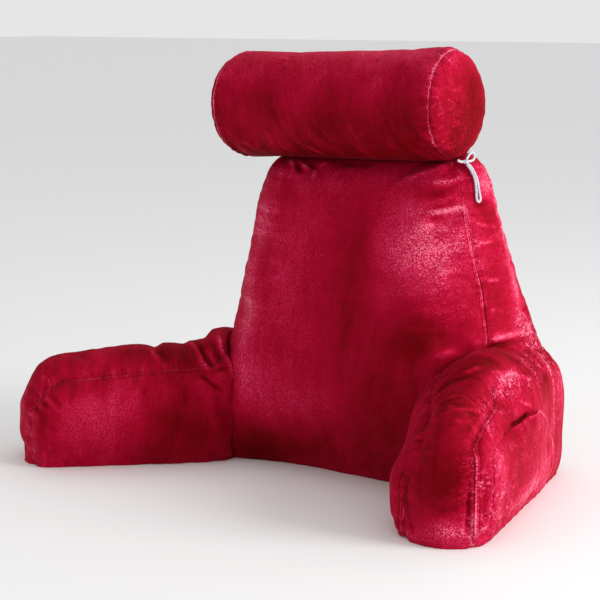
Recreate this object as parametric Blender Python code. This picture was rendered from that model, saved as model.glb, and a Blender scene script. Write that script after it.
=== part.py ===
"""Reading pillow with arms: a filled wedge backrest between two filled arms, and a neck roll tied on its top.

Metres, +Z up. The origin is the middle of the backrest's flat base, the sitter faces -Y, and +X is on the
right of someone who looks at the front. Every cushion is a boxed one: two crowned panels, sewn to a strip
that runs round them.
"""

import math
from collections import namedtuple

import bmesh
import bpy
import numpy as np

# ---- shared sewing sizes -------------------------------------------------------------------------------
CLEARANCE = 0.0004  # space kept where two stuffed pieces press together
SINK = 0.012  # how far a cushion would reach below the floor if its own weight did not flatten it
ARC_STEPS = 10  # points on each rounded corner before the outline is evened out
CROWN_SQUARENESS = 3.2  # how flat the middle of a filled panel stays
CROWN_FULLNESS = 0.60  # how steeply it rises from its seam
PANEL_FRACTIONS = (0.12, 0.34, 0.54, 0.71, 0.84, 0.93, 0.98)  # rings of a panel, from its spine to its seam
STRIP_FRACTIONS = (0.0, 0.08, 0.30, 0.50, 0.70, 0.92, 1.0)  # rings of a strip, from seam to seam

# A panel's outline is a polygon whose corners are arcs.
Corner = namedtuple("Corner", "across up radius")

# ---- backrest ------------------------------------------------------------------------------------------
BACK_POINTS = 76
BACK_CORNERS = (
    Corner(0.232, -SINK, 0.030),
    Corner(0.242, 0.110, 0.250),
    Corner(0.187, 0.350, 0.500),
    Corner(0.156, 0.486, 0.050),
    Corner(-0.176, 0.484, 0.060),
    Corner(-0.214, 0.330, 0.500),
    Corner(-0.246, 0.110, 0.250),
    Corner(-0.236, -SINK, 0.030),
)
# The wedge, seen from its side: where the two seams stand, and how far each panel swells past its seam.
BackLevel = namedtuple("BackLevel", "up front_seam back_seam front_crown back_crown")
BACK_LEVELS = (
    BackLevel(0.00, -0.092, 0.104, 0.060, 0.022),
    BackLevel(0.10, -0.100, 0.096, 0.068, 0.026),
    BackLevel(0.20, -0.104, 0.068, 0.068, 0.028),
    BackLevel(0.30, -0.098, 0.032, 0.060, 0.026),
    BackLevel(0.40, -0.080, 0.010, 0.048, 0.024),
    BackLevel(0.48, -0.062, 0.000, 0.036, 0.020),
)
BACK_SPINE = ((0.0, 0.150), (0.0, 0.330))  # the rings of both panels close on this upright line
BACK_STRIP_SWELL = 0.010
CORNER_PULL = 0.052  # how far the arms draw the front panel's lower corners forwards
CORNER_PULL_TOP = 0.240  # height where that pull ends

# ---- arms ----------------------------------------------------------------------------------------------
ARM_POINTS = 90
ARM_SPINE = (0.075, 0.070, 0.080)  # its rings close on a line: distance in from each end, and its height
ARM_STRIP_SWELL = 0.030  # of the strip along the top
ARM_END_SWELL = 0.016  # of the same strip where it goes down the end
ARM_FULL_HALF_WIDTH = 0.050  # where an arm is pinched narrower than this, its inner panel swells less
ARM_INNER_CROWN = 0.032
ARM_OUTER_CROWN = 0.020
# A deep fold across an arm: where it starts at the floor, how far it leans away per metre of height.
ArmFold = namedtuple("ArmFold", "along lean depth width")
# Across the arm, at a distance along it from its rear end: how far its two seams stand from its middle line.
ArmStation = namedtuple("ArmStation", "along inner outer")
# A posed arm: where its rear end stands, its heading out from straight ahead before and after its bend,
# where the bend lies along it, its length, and the corners of its side panels.
ArmPose = namedtuple(
    "ArmPose", "name side start heading_in heading_out bend_from bend_to corners stations folds"
)

ARM_POSES = (
    ArmPose(
        name="arm_right",
        side=1.0,
        start=(0.178, 0.086),
        heading_in=12.0,
        heading_out=12.0,
        bend_from=0.08,
        bend_to=0.20,
        corners=(
            Corner(0.000, -SINK, 0.040),
            Corner(0.412, -SINK, 0.030),
            Corner(0.412, 0.140, 0.050),
            Corner(0.230, 0.200, 0.120),
            Corner(0.000, 0.180, 0.060),
        ),
        stations=(
            ArmStation(0.00, 0.040, 0.058),
            ArmStation(0.15, 0.048, 0.058),
            ArmStation(0.25, 0.052, 0.054),
            ArmStation(0.41, 0.048, 0.048),
        ),
        folds=(),
    ),
    ArmPose(
        name="arm_left",
        side=-1.0,
        start=(-0.172, 0.080),
        heading_in=4.0,
        heading_out=48.0,
        bend_from=0.07,
        bend_to=0.20,
        corners=(
            Corner(0.000, -SINK, 0.040),
            Corner(0.525, -SINK, 0.020),
            Corner(0.517, 0.131, 0.055),
            Corner(0.280, 0.152, 0.100),
            Corner(0.220, 0.172, 0.060),
            Corner(0.000, 0.175, 0.060),
        ),
        stations=(
            ArmStation(0.00, 0.010, 0.062),
            ArmStation(0.12, 0.016, 0.068),
            ArmStation(0.24, 0.058, 0.064),
            ArmStation(0.52, 0.054, 0.052),
        ),
        folds=(
            ArmFold(0.205, 0.25, 0.010, 0.012),
            ArmFold(0.240, 0.30, 0.008, 0.012),
            ArmFold(0.275, 0.35, 0.006, 0.012),
        ),
    ),
)

# ---- neck roll -----------------------------------------------------------------------------------------
ROLL_MIDDLE = (-0.048, -0.070, 0.5565)
ROLL_HALF_LENGTH = 0.194
ROLL_TILT = 1.6  # degrees, its right end up
ROLL_SIDES = 36
# The turned outline: distance from the middle of one end, outwards, then along the tube.
RollStation = namedtuple("RollStation", "beyond_seam radius")
ROLL_STATIONS = (
    RollStation(0.009, 0.030),
    RollStation(0.007, 0.055),
    RollStation(0.002, 0.071),
    RollStation(0.000, 0.0755),
    RollStation(-0.003, 0.0795),
    RollStation(-0.012, 0.0825),
    RollStation(-0.045, 0.0820),
    RollStation(-0.110, 0.0805),
)

# ---- pocket --------------------------------------------------------------------------------------------
POCKET_ARM = "arm_right"
POCKET_THICK = 0.0016
POCKET_LIFT = 0.0008  # space between the pocket and the arm it is sewn to
POCKET_COLUMNS = 18
POCKET_LINES = 9
# The flat patch, from its end by the sitter's hand to its rear end: its lower and its upper edge there.
PocketEdge = namedtuple("PocketEdge", "along low high")
POCKET_EDGES = (
    PocketEdge(0.385, 0.024, 0.122),
    PocketEdge(0.372, 0.018, 0.128),
    PocketEdge(0.260, 0.018, 0.136),
    PocketEdge(0.150, 0.018, 0.142),
    PocketEdge(0.128, 0.018, 0.105),
    PocketEdge(0.115, 0.022, 0.070),
)

# ---- ties ----------------------------------------------------------------------------------------------
CORD_RADIUS = 0.0018
CORD_FINENESS = 2
SPAN_STEPS = 3  # points on the smooth line for each pair of route points
Spot = namedtuple("Spot", "x y z")
# A place on the middle line of a doubled cord, and how far each strand stands from it.
Pair = namedtuple("Pair", "x y z apart")
# A place on the strap that swells into the knot, and its thickness in cord thicknesses.
Strap = namedtuple("Strap", "x y z thick")
Tie = namedtuple("Tie", "name spread strap hanging bow")

TIES = (
    Tie(
        name="tie_right",
        spread=(0.27, 0.96, 0.0),
        strap=(
            Strap(0.1482, -0.0715, 0.4832, 1.0),
            Strap(0.1500, -0.0665, 0.4812, 1.0),
            Strap(0.1521, -0.0616, 0.4810, 1.0),
            Strap(0.1525, -0.0606, 0.4810, 1.4),
            Strap(0.1530, -0.0593, 0.4809, 1.9),
            Strap(0.1536, -0.0576, 0.4808, 2.1),
            Strap(0.1542, -0.0559, 0.4807, 1.9),
            Strap(0.1547, -0.0546, 0.4807, 1.4),
            Strap(0.1549, -0.0540, 0.4807, 0.8),
        ),
        hanging=(
            Pair(0.1566, -0.0572, 0.4765, 0.0021),
            Pair(0.1628, -0.0558, 0.4680, 0.0021),
            Pair(0.1703, -0.0577, 0.4555, 0.0026),
            Pair(0.1742, -0.0597, 0.4402, 0.0038),
            Pair(0.1762, -0.0610, 0.4325, 0.0046),
            Pair(0.1774, -0.0619, 0.4275, 0.0040),
            Pair(0.1780, -0.0624, 0.4250, 0.0000),
        ),
        bow=(
            Spot(0.1531, -0.0553, 0.4852),
            Spot(0.1524, -0.0480, 0.4893),
            Spot(0.1522, -0.0400, 0.4930),
            Spot(0.1545, -0.0360, 0.4890),
            Spot(0.1567, -0.0410, 0.4835),
            Spot(0.1560, -0.0475, 0.4812),
            Spot(0.1553, -0.0520, 0.4812),
        ),
    ),
    Tie(
        name="tie_left",
        spread=(-0.10, 0.99, 0.0),
        strap=(
            Strap(-0.1765, -0.0330, 0.4775, 1.0),
            Strap(-0.1780, -0.0265, 0.4765, 1.0),
            Strap(-0.1799, -0.0190, 0.4753, 1.0),
            Strap(-0.1803, -0.0180, 0.4751, 1.4),
            Strap(-0.1808, -0.0167, 0.4748, 1.9),
            Strap(-0.1815, -0.0150, 0.4745, 2.1),
            Strap(-0.1822, -0.0133, 0.4742, 1.9),
            Strap(-0.1826, -0.0120, 0.4740, 1.4),
            Strap(-0.1828, -0.0114, 0.4739, 0.8),
        ),
        hanging=(
            Pair(-0.1845, -0.0160, 0.4700, 0.0021),
            Pair(-0.1903, -0.0155, 0.4598, 0.0021),
            Pair(-0.1962, -0.0165, 0.4470, 0.0026),
            Pair(-0.2015, -0.0180, 0.4320, 0.0038),
            Pair(-0.2038, -0.0185, 0.4240, 0.0046),
            Pair(-0.2053, -0.0188, 0.4188, 0.0040),
            Pair(-0.2060, -0.0190, 0.4162, 0.0000),
        ),
        bow=(
            Spot(-0.1811, -0.0120, 0.4785),
            Spot(-0.1795, -0.0050, 0.4785),
            Spot(-0.1790, 0.0050, 0.4740),
            Spot(-0.1815, 0.0120, 0.4675),
            Spot(-0.1860, 0.0110, 0.4615),
            Spot(-0.1885, 0.0030, 0.4605),
            Spot(-0.1875, -0.0050, 0.4645),
            Spot(-0.1860, -0.0092, 0.4695),
        ),
    ),
)

# ---- colours -------------------------------------------------------------------------------------------
Finish = namedtuple("Finish", "name colour roughness")
PLUSH = Finish("red_plush", (0.38, 0.004, 0.028, 1.0), 0.75)
CORD_WHITE = Finish("white_cord", (0.75, 0.75, 0.80, 1.0), 0.60)


def clear_scene():
    """Remove whatever the opening scene holds."""
    for thing in list(bpy.data.objects):
        bpy.data.objects.remove(thing, do_unlink=True)


def material(finish):
    """The finish's material, made once."""
    made = bpy.data.materials.get(finish.name)
    if made is None:
        made = bpy.data.materials.new(finish.name)
        made.use_nodes = True
        shader = made.node_tree.nodes["Principled BSDF"]
        shader.inputs["Base Color"].default_value = finish.colour
        shader.inputs["Roughness"].default_value = finish.roughness
        shader.inputs["Metallic"].default_value = 0.0
    return made


def unit(vector):
    """The vector at length one."""
    return vector / np.linalg.norm(vector)


def rounded_outline(corners, count):
    """Evenly spaced points anticlockwise round a polygon whose corners are arcs."""
    places = [np.array((corner.across, corner.up)) for corner in corners]
    path = []
    for index, corner in enumerate(corners):
        into = unit(places[index] - places[index - 1])
        away = unit(places[(index + 1) % len(places)] - places[index])
        turn = math.acos(float(np.clip(into @ away, -1.0, 1.0)))
        inward = np.array((-into[1], into[0]))
        start = places[index] - into * corner.radius * math.tan(turn / 2)
        centre = start + inward * corner.radius
        for step in range(ARC_STEPS + 1):
            angle = turn * step / ARC_STEPS
            path.append(centre + corner.radius * (into * math.sin(angle) - inward * math.cos(angle)))
    path.append(path[0])
    path = np.array(path)
    reached = np.concatenate([[0.0], np.cumsum(np.linalg.norm(np.diff(path, axis=0), axis=1))])
    wanted = np.linspace(0.0, reached[-1], count, endpoint=False)
    return np.stack([np.interp(wanted, reached, path[:, axis]) for axis in (0, 1)], axis=1)


def outward(outline):
    """The outward direction at each point of an anticlockwise outline."""
    along = np.roll(outline, -1, axis=0) - np.roll(outline, 1, axis=0)
    normal = np.stack([along[:, 1], -along[:, 0]], axis=1)
    return normal / np.linalg.norm(normal, axis=1, keepdims=True)


def swell(fraction):
    """How full a panel is, 1 in its middle and 0 at its seam, a fraction of the way out to the seam."""
    return (1.0 - np.asarray(fraction) ** CROWN_SQUARENESS) ** CROWN_FULLNESS


def nearest_on_spine(points, spine):
    """The place on a panel's spine, a straight line, that is nearest to each point."""
    start, end = np.array(spine[0]), np.array(spine[1])
    along = np.clip((points - start) @ (end - start) / ((end - start) @ (end - start)), 0.0, 1.0)
    return start + along[:, None] * (end - start)


def boxed_rings(outline, spine):
    """Rings of a boxed cushion, from the spine of one panel over the strip to the spine of the other.

    Each ring is (points on the flat pattern, place across the strip, fullness of its panel, on the strip).
    """
    inner = nearest_on_spine(outline, spine)
    rings = [(inner + part * (outline - inner), 0.0, swell(part), 0.0) for part in PANEL_FRACTIONS]
    rings += [(outline, part, 0.0, math.sin(math.pi * part) ** 0.7) for part in STRIP_FRACTIONS]
    rings += [(inner + part * (outline - inner), 1.0, swell(part), 0.0) for part in PANEL_FRACTIONS[::-1]]
    return rings


def close_over(shape, ring):
    """Close a long narrow ring with rungs from one of its sides to the other.

    Where an end of the ring is straight, one side holds all of it, and the other side steps off it first.
    """
    spots = np.array([vert.co for vert in ring])
    longest = np.linalg.svd(spots - spots.mean(axis=0))[2][0]
    along = np.round(spots @ longest, 6)
    count = len(ring)
    first = next(i for i in range(count) if along[i] == along.min() < along[(i + 1) % count])
    last = next(i for i in range(count) if along[i] == along.max() > along[i - 1])
    forward = [(first + step) % count for step in range((last - first) % count + 1)]
    backward = [(first - step) % count for step in range((first - last) % count + 1)]
    here, there = 1, 0
    while here < len(forward) - 1 or there < len(backward) - 1:
        ahead = along[forward[here + 1]] if here < len(forward) - 1 else math.inf
        beyond = along[backward[there + 1]] if there < len(backward) - 1 else math.inf
        rung = [ring[forward[here]], ring[backward[there]]]
        if ahead < beyond:
            here += 1
            rung.append(ring[forward[here]])
        else:
            there += 1
            rung.append(ring[backward[there]])
        if len(set(rung)) == 3:
            shape.faces.new(rung)


def skin(name, rings, finish):
    """One closed object from rings of points, closed over its first and its last ring."""
    shape = bmesh.new()
    rows = [[shape.verts.new(point) for point in ring] for ring in rings]
    for row, following in zip(rows, rows[1:]):
        for index in range(len(row)):
            after = (index + 1) % len(row)
            shape.faces.new((row[index], row[after], following[after], following[index]))
    close_over(shape, rows[0])
    close_over(shape, rows[-1])
    return finish_mesh(name, shape, finish)


def finish_mesh(name, shape, finish):
    """An object of this closed shape in the scene, smooth shaded, with its finish.

    It is made of triangles, so that a guide copied from it bends along the same lines.
    """
    bmesh.ops.triangulate(shape, faces=shape.faces)
    bmesh.ops.recalc_face_normals(shape, faces=shape.faces)
    mesh = bpy.data.meshes.new(name)
    shape.to_mesh(mesh)
    shape.free()
    thing = bpy.data.objects.new(name, mesh)
    bpy.context.scene.collection.objects.link(thing)
    mesh.materials.append(material(finish))
    mesh.shade_smooth()
    return thing


def guide_round(thing):
    """A hidden copy of a piece, larger by the clearance, that cuts its neighbours."""
    mesh = thing.data.copy()
    guide = bpy.data.objects.new(thing.name + ".guide", mesh)
    bpy.context.scene.collection.objects.link(guide)
    grow = guide.modifiers.new("clearance", "DISPLACE")
    grow.strength = CLEARANCE
    grow.mid_level = 0.0
    guide.hide_render = True
    guide.display_type = "WIRE"
    return guide


def keep_clear(thing, guide):
    """Cut a piece back from its neighbour's guide."""
    cut = thing.modifiers.new("clear_of_" + guide.name, "BOOLEAN")
    cut.operation = "DIFFERENCE"
    cut.solver = "EXACT"
    cut.object = guide


def backrest():
    """The wedge: crowned front and back panels, joined by a strip that narrows to the top."""
    outline = rounded_outline(BACK_CORNERS, BACK_POINTS)
    levels = np.array(BACK_LEVELS)
    rings = []
    normal = outward(outline)
    for points, across, full, bulge in boxed_rings(outline, BACK_SPINE):
        up = points[:, 1]
        front, back, front_crown, back_crown = (np.interp(up, levels[:, 0], levels[:, k]) for k in (1, 2, 3, 4))
        pull = np.clip(1.0 - up / CORNER_PULL_TOP, 0.0, 1.0) * np.abs(points[:, 0] / BACK_CORNERS[1].across) ** 3
        front = front - CORNER_PULL * pull
        depth = front + (back - front) * across
        depth = depth - full * front_crown if across < 0.5 else depth + full * back_crown
        if bulge:
            points = points + normal * BACK_STRIP_SWELL * bulge
        rings.append(np.stack([points[:, 0], depth, np.maximum(points[:, 1], 0.0)], axis=1))
    return skin("backrest", rings, PLUSH)


class ArmLine:
    """The line along the floor that an arm follows, from its rear end."""

    def __init__(self, pose, steps=200):
        self.length = max(corner.across for corner in pose.corners)
        self.along = np.linspace(-0.05, self.length + 0.05, steps)
        turned = np.clip((self.along - pose.bend_from) / (pose.bend_to - pose.bend_from), 0.0, 1.0)
        turned = turned * turned * (3.0 - 2.0 * turned)
        heading = np.radians(pose.heading_in + (pose.heading_out - pose.heading_in) * turned)
        self.ahead = np.stack([pose.side * np.sin(heading), -np.cos(heading)], axis=1)
        self.outer = np.stack([pose.side * np.cos(heading), np.sin(heading)], axis=1)
        step = self.along[1] - self.along[0]
        walked = np.cumsum(self.ahead * step, axis=0)
        origin = np.array([np.interp(0.0, self.along, walked[:, axis]) for axis in (0, 1)])
        self.place = walked - origin + np.array(pose.start)

    def at(self, along, outwards):
        """Floor places at distances along the arm, and outwards from its middle line."""
        spots = []
        for axis in (0, 1):
            middle = np.interp(along, self.along, self.place[:, axis])
            sideways = np.interp(along, self.along, self.outer[:, axis])
            spots.append(middle + sideways * outwards)
        return np.stack(spots, axis=1)


def fold_depth(folds, points):
    """How deep an arm's folds are at places on its pattern."""
    depth = np.zeros(len(points))
    for fold in folds:
        off = points[:, 0] - fold.along - fold.lean * points[:, 1]
        depth += fold.depth * np.exp(-((off / fold.width) ** 2))
    return depth


def arm(pose):
    """One arm: two crowned side panels, and a strip over its top and down its end."""
    outline = rounded_outline(pose.corners, ARM_POINTS)
    normal = outward(outline)
    line = ArmLine(pose)
    rear, front, height = ARM_SPINE
    spine = ((rear, height), (line.length - front, height))
    stations = np.array(pose.stations)
    rings = []
    for points, across, full, bulge in boxed_rings(outline, spine):
        inner = np.interp(points[:, 0], stations[:, 0], stations[:, 1])
        outer = np.interp(points[:, 0], stations[:, 0], stations[:, 2])
        dent = fold_depth(pose.folds, points)
        outwards = outer * across - inner * (1.0 - across)
        if across == 1.0:
            outwards = outwards + full * ARM_OUTER_CROWN - dent
        elif across == 0.0:
            outwards = outwards - full * ARM_INNER_CROWN * np.minimum(inner / ARM_FULL_HALF_WIDTH, 1.0) + dent
        if bulge:
            amount = ARM_END_SWELL + (ARM_STRIP_SWELL - ARM_END_SWELL) * np.abs(normal[:, 1])
            points = points + normal * (amount * bulge - dent)[:, None]
        spot = line.at(points[:, 0], outwards)
        rings.append(np.column_stack([spot, np.maximum(points[:, 1], 0.0)]))
    return skin(pose.name, rings, PLUSH)


def fullness_at(outline, spine, points):
    """How full a panel is at places on its flat pattern."""
    inner = nearest_on_spine(points, spine)
    found = []
    for centre, point in zip(inner, points):
        away = point - centre
        normal = np.array((-away[1], away[0]))
        side = (outline - centre) @ normal
        ahead = (outline - centre) @ away
        reach = []
        for index in range(len(outline)):
            if (side[index - 1] < 0.0) != (side[index] < 0.0):
                part = side[index - 1] / (side[index - 1] - side[index])
                reach.append(ahead[index - 1] + part * (ahead[index] - ahead[index - 1]))
        found.append(swell(min(away @ away / max(reach), 1.0)))
    return np.array(found)


def pocket(pose):
    """A flat patch of the cover's own cloth, laid over an arm's outer panel."""
    outline = rounded_outline(pose.corners, ARM_POINTS)
    line = ArmLine(pose)
    rear, front, height = ARM_SPINE
    spine = ((rear, height), (line.length - front, height))
    stations = np.array(pose.stations)
    edges = np.array(POCKET_EDGES)[::-1]
    along, part = np.meshgrid(
        np.linspace(edges[0, 0], edges[-1, 0], POCKET_COLUMNS), np.linspace(0.0, 1.0, POCKET_LINES), indexing="ij"
    )
    low = np.interp(along, edges[:, 0], edges[:, 1])
    high = np.interp(along, edges[:, 0], edges[:, 2])
    points = np.column_stack([along.ravel(), (low + (high - low) * part).ravel()])
    outer = np.interp(points[:, 0], stations[:, 0], stations[:, 2])
    outer = outer + fullness_at(outline, spine, points) * ARM_OUTER_CROWN + POCKET_LIFT
    shape = bmesh.new()
    layers = []
    for rise in (0.0, POCKET_THICK):
        spots = np.column_stack([line.at(points[:, 0], outer + rise), points[:, 1]])
        verts = [shape.verts.new(spot) for spot in spots]
        layers.append([verts[k : k + POCKET_LINES] for k in range(0, len(verts), POCKET_LINES)])
    for layer in layers:
        for column, following in zip(layer, layer[1:]):
            for k in range(POCKET_LINES - 1):
                shape.faces.new((column[k], column[k + 1], following[k + 1], following[k]))
    under, over = (
        layer[0] + [column[-1] for column in layer[1:]] + layer[-1][-2::-1] + [column[0] for column in layer[-2:0:-1]]
        for layer in layers
    )
    for k in range(len(under)):
        shape.faces.new((under[k - 1], under[k], over[k], over[k - 1]))
    return finish_mesh("arm_pocket", shape, PLUSH)


def smooth_line(spots):
    """A smooth line through the spots, with a few points for each pair of them."""
    spots = [np.array(spot) for spot in spots]
    spots = [2 * spots[0] - spots[1]] + spots + [2 * spots[-1] - spots[-2]]
    line = []
    for before, start, end, after in zip(spots, spots[1:], spots[2:], spots[3:]):
        for step in range(SPAN_STEPS):
            t = step / SPAN_STEPS
            bend = 2 * before - 5 * start + 4 * end - after
            twist = -before + 3 * start - 3 * end + after
            line.append(0.5 * (2 * start + (end - before) * t + bend * t**2 + twist * t**3))
    line.append(spots[-2])
    return line


def cord(name, spots, thick=None):
    """A round cord, closed at both ends, along a smooth line through the spots."""
    line = smooth_line(spots)
    widths = smooth_line([(width,) for width in thick]) if thick else [(1.0,)] * len(line)
    curve = bpy.data.curves.new(name, "CURVE")
    curve.dimensions = "3D"
    curve.bevel_depth = CORD_RADIUS
    curve.bevel_resolution = CORD_FINENESS
    curve.use_fill_caps = True
    spline = curve.splines.new("POLY")
    spline.points.add(len(line) - 1)
    for point, spot, width in zip(spline.points, line, widths):
        point.co = (*spot, 1.0)
        point.radius = float(width[0])
    thing = bpy.data.objects.new(name, curve)
    bpy.context.scene.collection.objects.link(thing)
    curve.materials.append(material(CORD_WHITE))
    return thing


def elastic_tie(tie):
    """The knotted tie at one top corner: a strap with its knot, a doubled hanging loop, and a small bow loop."""
    spread = unit(np.array(tie.spread))
    middle = [(np.array(row[:3]), row.apart) for row in tie.hanging]
    strands = [spot + spread * apart for spot, apart in middle] + [
        spot - spread * apart for spot, apart in reversed(middle[:-1])
    ]
    cord(tie.name + "_knot", [row[:3] for row in tie.strap], [row.thick for row in tie.strap])
    cord(tie.name + "_hanging", strands)
    cord(tie.name + "_bow", tie.bow)


def neck_roll():
    """The round roll: a tube drawn in to an end disc at both ends."""
    tilt = math.radians(ROLL_TILT)
    along = np.array((math.cos(tilt), 0.0, math.sin(tilt)))
    above = np.array((-math.sin(tilt), 0.0, math.cos(tilt)))
    behind = np.array((0.0, 1.0, 0.0))
    middle = np.array(ROLL_MIDDLE)
    half = [(-(ROLL_HALF_LENGTH + row.beyond_seam), row.radius) for row in ROLL_STATIONS]
    stations = half + [(0.0, ROLL_STATIONS[-1].radius)] + [(-place, radius) for place, radius in reversed(half)]
    rings = []
    for distance, radius in stations:
        ring = []
        for side in range(ROLL_SIDES):
            angle = 2.0 * math.pi * side / ROLL_SIDES
            ring.append(middle + along * distance + radius * (behind * math.cos(angle) + above * math.sin(angle)))
        rings.append(ring)
    return skin("neck_roll", rings, PLUSH)


def main():
    """Build every piece, and cut each back from the firmer one that presses on it."""
    clear_scene()
    roll = neck_roll()
    back = backrest()
    arms = [arm(pose) for pose in ARM_POSES]
    keep_clear(back, guide_round(roll))
    back_guide = guide_round(back)
    for side in arms:
        keep_clear(side, back_guide)
    pocket(next(pose for pose in ARM_POSES if pose.name == POCKET_ARM))
    for tie in TIES:
        elastic_tie(tie)


main()
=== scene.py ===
"""A plush reading pillow with two arms and a tied-on neck roll, dressed in crimson velvet.

Every cushion is stuffed from its own solid, sewn along the seams of its pattern, and then carved with the
folds and gathers of a loosely filled cover. Lengths are in metres, +Z is up and the sitter faces -Y.
"""

import logging
import math
from dataclasses import dataclass, field
from enum import Enum

import bmesh
import bpy
import numpy as np
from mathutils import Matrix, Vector, noise
from mathutils.bvhtree import BVHTree


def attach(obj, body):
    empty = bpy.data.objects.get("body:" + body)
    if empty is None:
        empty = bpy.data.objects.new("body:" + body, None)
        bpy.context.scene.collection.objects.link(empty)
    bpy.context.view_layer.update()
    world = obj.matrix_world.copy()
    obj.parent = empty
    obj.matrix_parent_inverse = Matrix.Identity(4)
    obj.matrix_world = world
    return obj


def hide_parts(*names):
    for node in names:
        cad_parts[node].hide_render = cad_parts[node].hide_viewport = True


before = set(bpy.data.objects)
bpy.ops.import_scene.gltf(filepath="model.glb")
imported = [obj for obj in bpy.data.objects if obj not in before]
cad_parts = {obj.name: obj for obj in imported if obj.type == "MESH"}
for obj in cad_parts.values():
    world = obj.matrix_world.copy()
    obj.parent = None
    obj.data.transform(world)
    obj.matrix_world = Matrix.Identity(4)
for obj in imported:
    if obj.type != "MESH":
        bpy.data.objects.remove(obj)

LOG = logging.getLogger("reading_pillow")
ROOT = "root"
BASE_BAND = 0.002  # what lies lower than this is a cushion's base
CONTACT_GAP = 0.0008  # the space kept where two stuffed pieces press together
CONTACT_SEARCH = 0.06  # how far a place looks for the piece that it presses on
CORD_REACH = 0.0015  # how far round a corded seam its cord reaches

Row = tuple[float, ...]


# ---- finishes ------------------------------------------------------------------------------------------
@dataclass(frozen=True)
class VelvetFinish:
    """Short velvet pile: its colour ramp, from a deep red for painted shade to a pale pink for painted highlights,
    through the pile's own plain and brushed tones.
    """

    name: str = "crimson_velvet"
    deep: Row = (0.075, 0.0002, 0.001, 1.0)
    shaded: Row = (0.2, 0.0008, 0.005, 1.0)
    plain: Row = (0.42, 0.002, 0.025, 1.0)
    # also the colour of the painted highlights
    brushed: Row = (0.64, 0.02, 0.085, 1.0)
    pale: Row = (0.9, 0.17, 0.27, 1.0)
    sheen: float = 0.07
    sheen_roughness: float = 0.28
    sheen_tint: Row = (1.0, 0.22, 0.36, 1.0)
    specular: float = 0.03


@dataclass(frozen=True)
class ElasticFinish:
    """Braided white elastic with a cool shadow between its strands."""

    name: str = "white_elastic"
    light: Row = (0.86, 0.85, 0.9, 1.0)
    groove: Row = (0.48, 0.48, 0.62, 1.0)
    roughness: float = 0.55
    braid_m: float = 0.0021


@dataclass(frozen=True)
class FloorFinish:
    """The plain pale studio floor."""

    name: str = "studio_floor"
    colour: Row = (0.9, 0.9, 0.9, 1.0)
    roughness: float = 0.8


class NodeBench:
    """Adds nodes to one tree and joins them."""

    def __init__(self, tree: bpy.types.NodeTree) -> None:
        """Start on a tree.

        Args:
            tree: The node tree of a material or of a group.
        """
        self.tree = tree

    def add(self, kind: str, settings: dict | None = None, **values: object) -> bpy.types.Node:
        """Add one node.

        Args:
            kind: The node's type name.
            settings: Properties of the node itself.
            **values: Input sockets by name, with underscores for spaces: a number, a colour or a socket.

        Returns:
            The new node.
        """
        node = self.tree.nodes.new(kind)
        for key, value in (settings or {}).items():
            setattr(node, key, value)
        for key, value in values.items():
            self.feed(node.inputs[key.replace("_", " ")], value)
        return node

    def feed(self, socket: bpy.types.NodeSocket, value: object) -> None:
        """Give a socket a value or a link.

        Args:
            socket: The input socket.
            value: Another socket to link, or a plain value.
        """
        if isinstance(value, bpy.types.NodeSocket):
            self.tree.links.new(value, socket)
        else:
            socket.default_value = value

    def math(self, operation: str, *values: object) -> bpy.types.NodeSocket:
        """Add a Math node.

        Args:
            operation: Its operation.
            *values: Its inputs in order.

        Returns:
            Its output socket.
        """
        node = self.tree.nodes.new("ShaderNodeMath")
        node.operation = operation
        for socket, value in zip(node.inputs, values):
            self.feed(socket, value)
        return node.outputs[0]

    def mix(self, factor: object, first: object, second: object) -> bpy.types.NodeSocket:
        """Mix two colours.

        Args:
            factor: How much of the second.
            first: The first colour.
            second: The second colour.

        Returns:
            The mixed colour's socket.
        """
        node = self.tree.nodes.new("ShaderNodeMix")
        node.data_type = "RGBA"
        self.feed(node.inputs[0], factor)
        self.feed(node.inputs[6], first)
        self.feed(node.inputs[7], second)
        return node.outputs[2]

    def band(self, value: object, middle: float, width: float) -> bpy.types.NodeSocket:
        """A soft band, 1 where the value is in the middle and 0 past the width.

        Args:
            value: The value to test.
            middle: The band's middle.
            width: Its half width.

        Returns:
            The band's socket.
        """
        off = self.math("ABSOLUTE", self.math("SUBTRACT", value, middle))
        ramp = self.add(
            "ShaderNodeMapRange",
            {"interpolation_type": "SMOOTHERSTEP"},
            From_Min=0.0,
            From_Max=width,
            To_Min=1.0,
            To_Max=0.0,
        )
        self.feed(ramp.inputs["Value"], off)
        return ramp.outputs[0]

    def step(self, value: object, low: float, high: float) -> bpy.types.NodeSocket:
        """A soft step from 0 at low to 1 at high.

        Args:
            value: The value to test.
            low: Where the step starts.
            high: Where it ends.

        Returns:
            The step's socket.
        """
        ramp = self.add(
            "ShaderNodeMapRange", {"interpolation_type": "SMOOTHSTEP"}, From_Min=low, From_Max=high
        )
        self.feed(ramp.inputs["Value"], value)
        return ramp.outputs[0]


def new_material(name: str) -> tuple[bpy.types.Material, NodeBench, bpy.types.Node]:
    """Make a material with a bare Principled shader.

    Args:
        name: The material's name.

    Returns:
        The material, a bench on its tree, and its shader.
    """
    made = bpy.data.materials.new(name)
    made.use_nodes = True
    return made, NodeBench(made.node_tree), made.node_tree.nodes["Principled BSDF"]


def grain(bench: NodeBench, place: object, scale: Row, detail: float, distortion: float) -> bpy.types.NodeSocket:
    """Noise over a surface.

    Args:
        bench: Where to add it.
        place: The coordinates' socket.
        scale: Lumps in a metre along each axis.
        detail: How many finer layers it has.
        distortion: How far it is stirred.

    Returns:
        The noise, between 0 and 1.
    """
    mapped = bench.add("ShaderNodeMapping", None, Vector=place, Scale=scale)
    made = bench.add("ShaderNodeTexNoise", None, Scale=1.0, Detail=detail, Distortion=distortion)
    bench.feed(made.inputs["Vector"], mapped.outputs[0])
    return made.outputs["Fac"]


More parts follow.
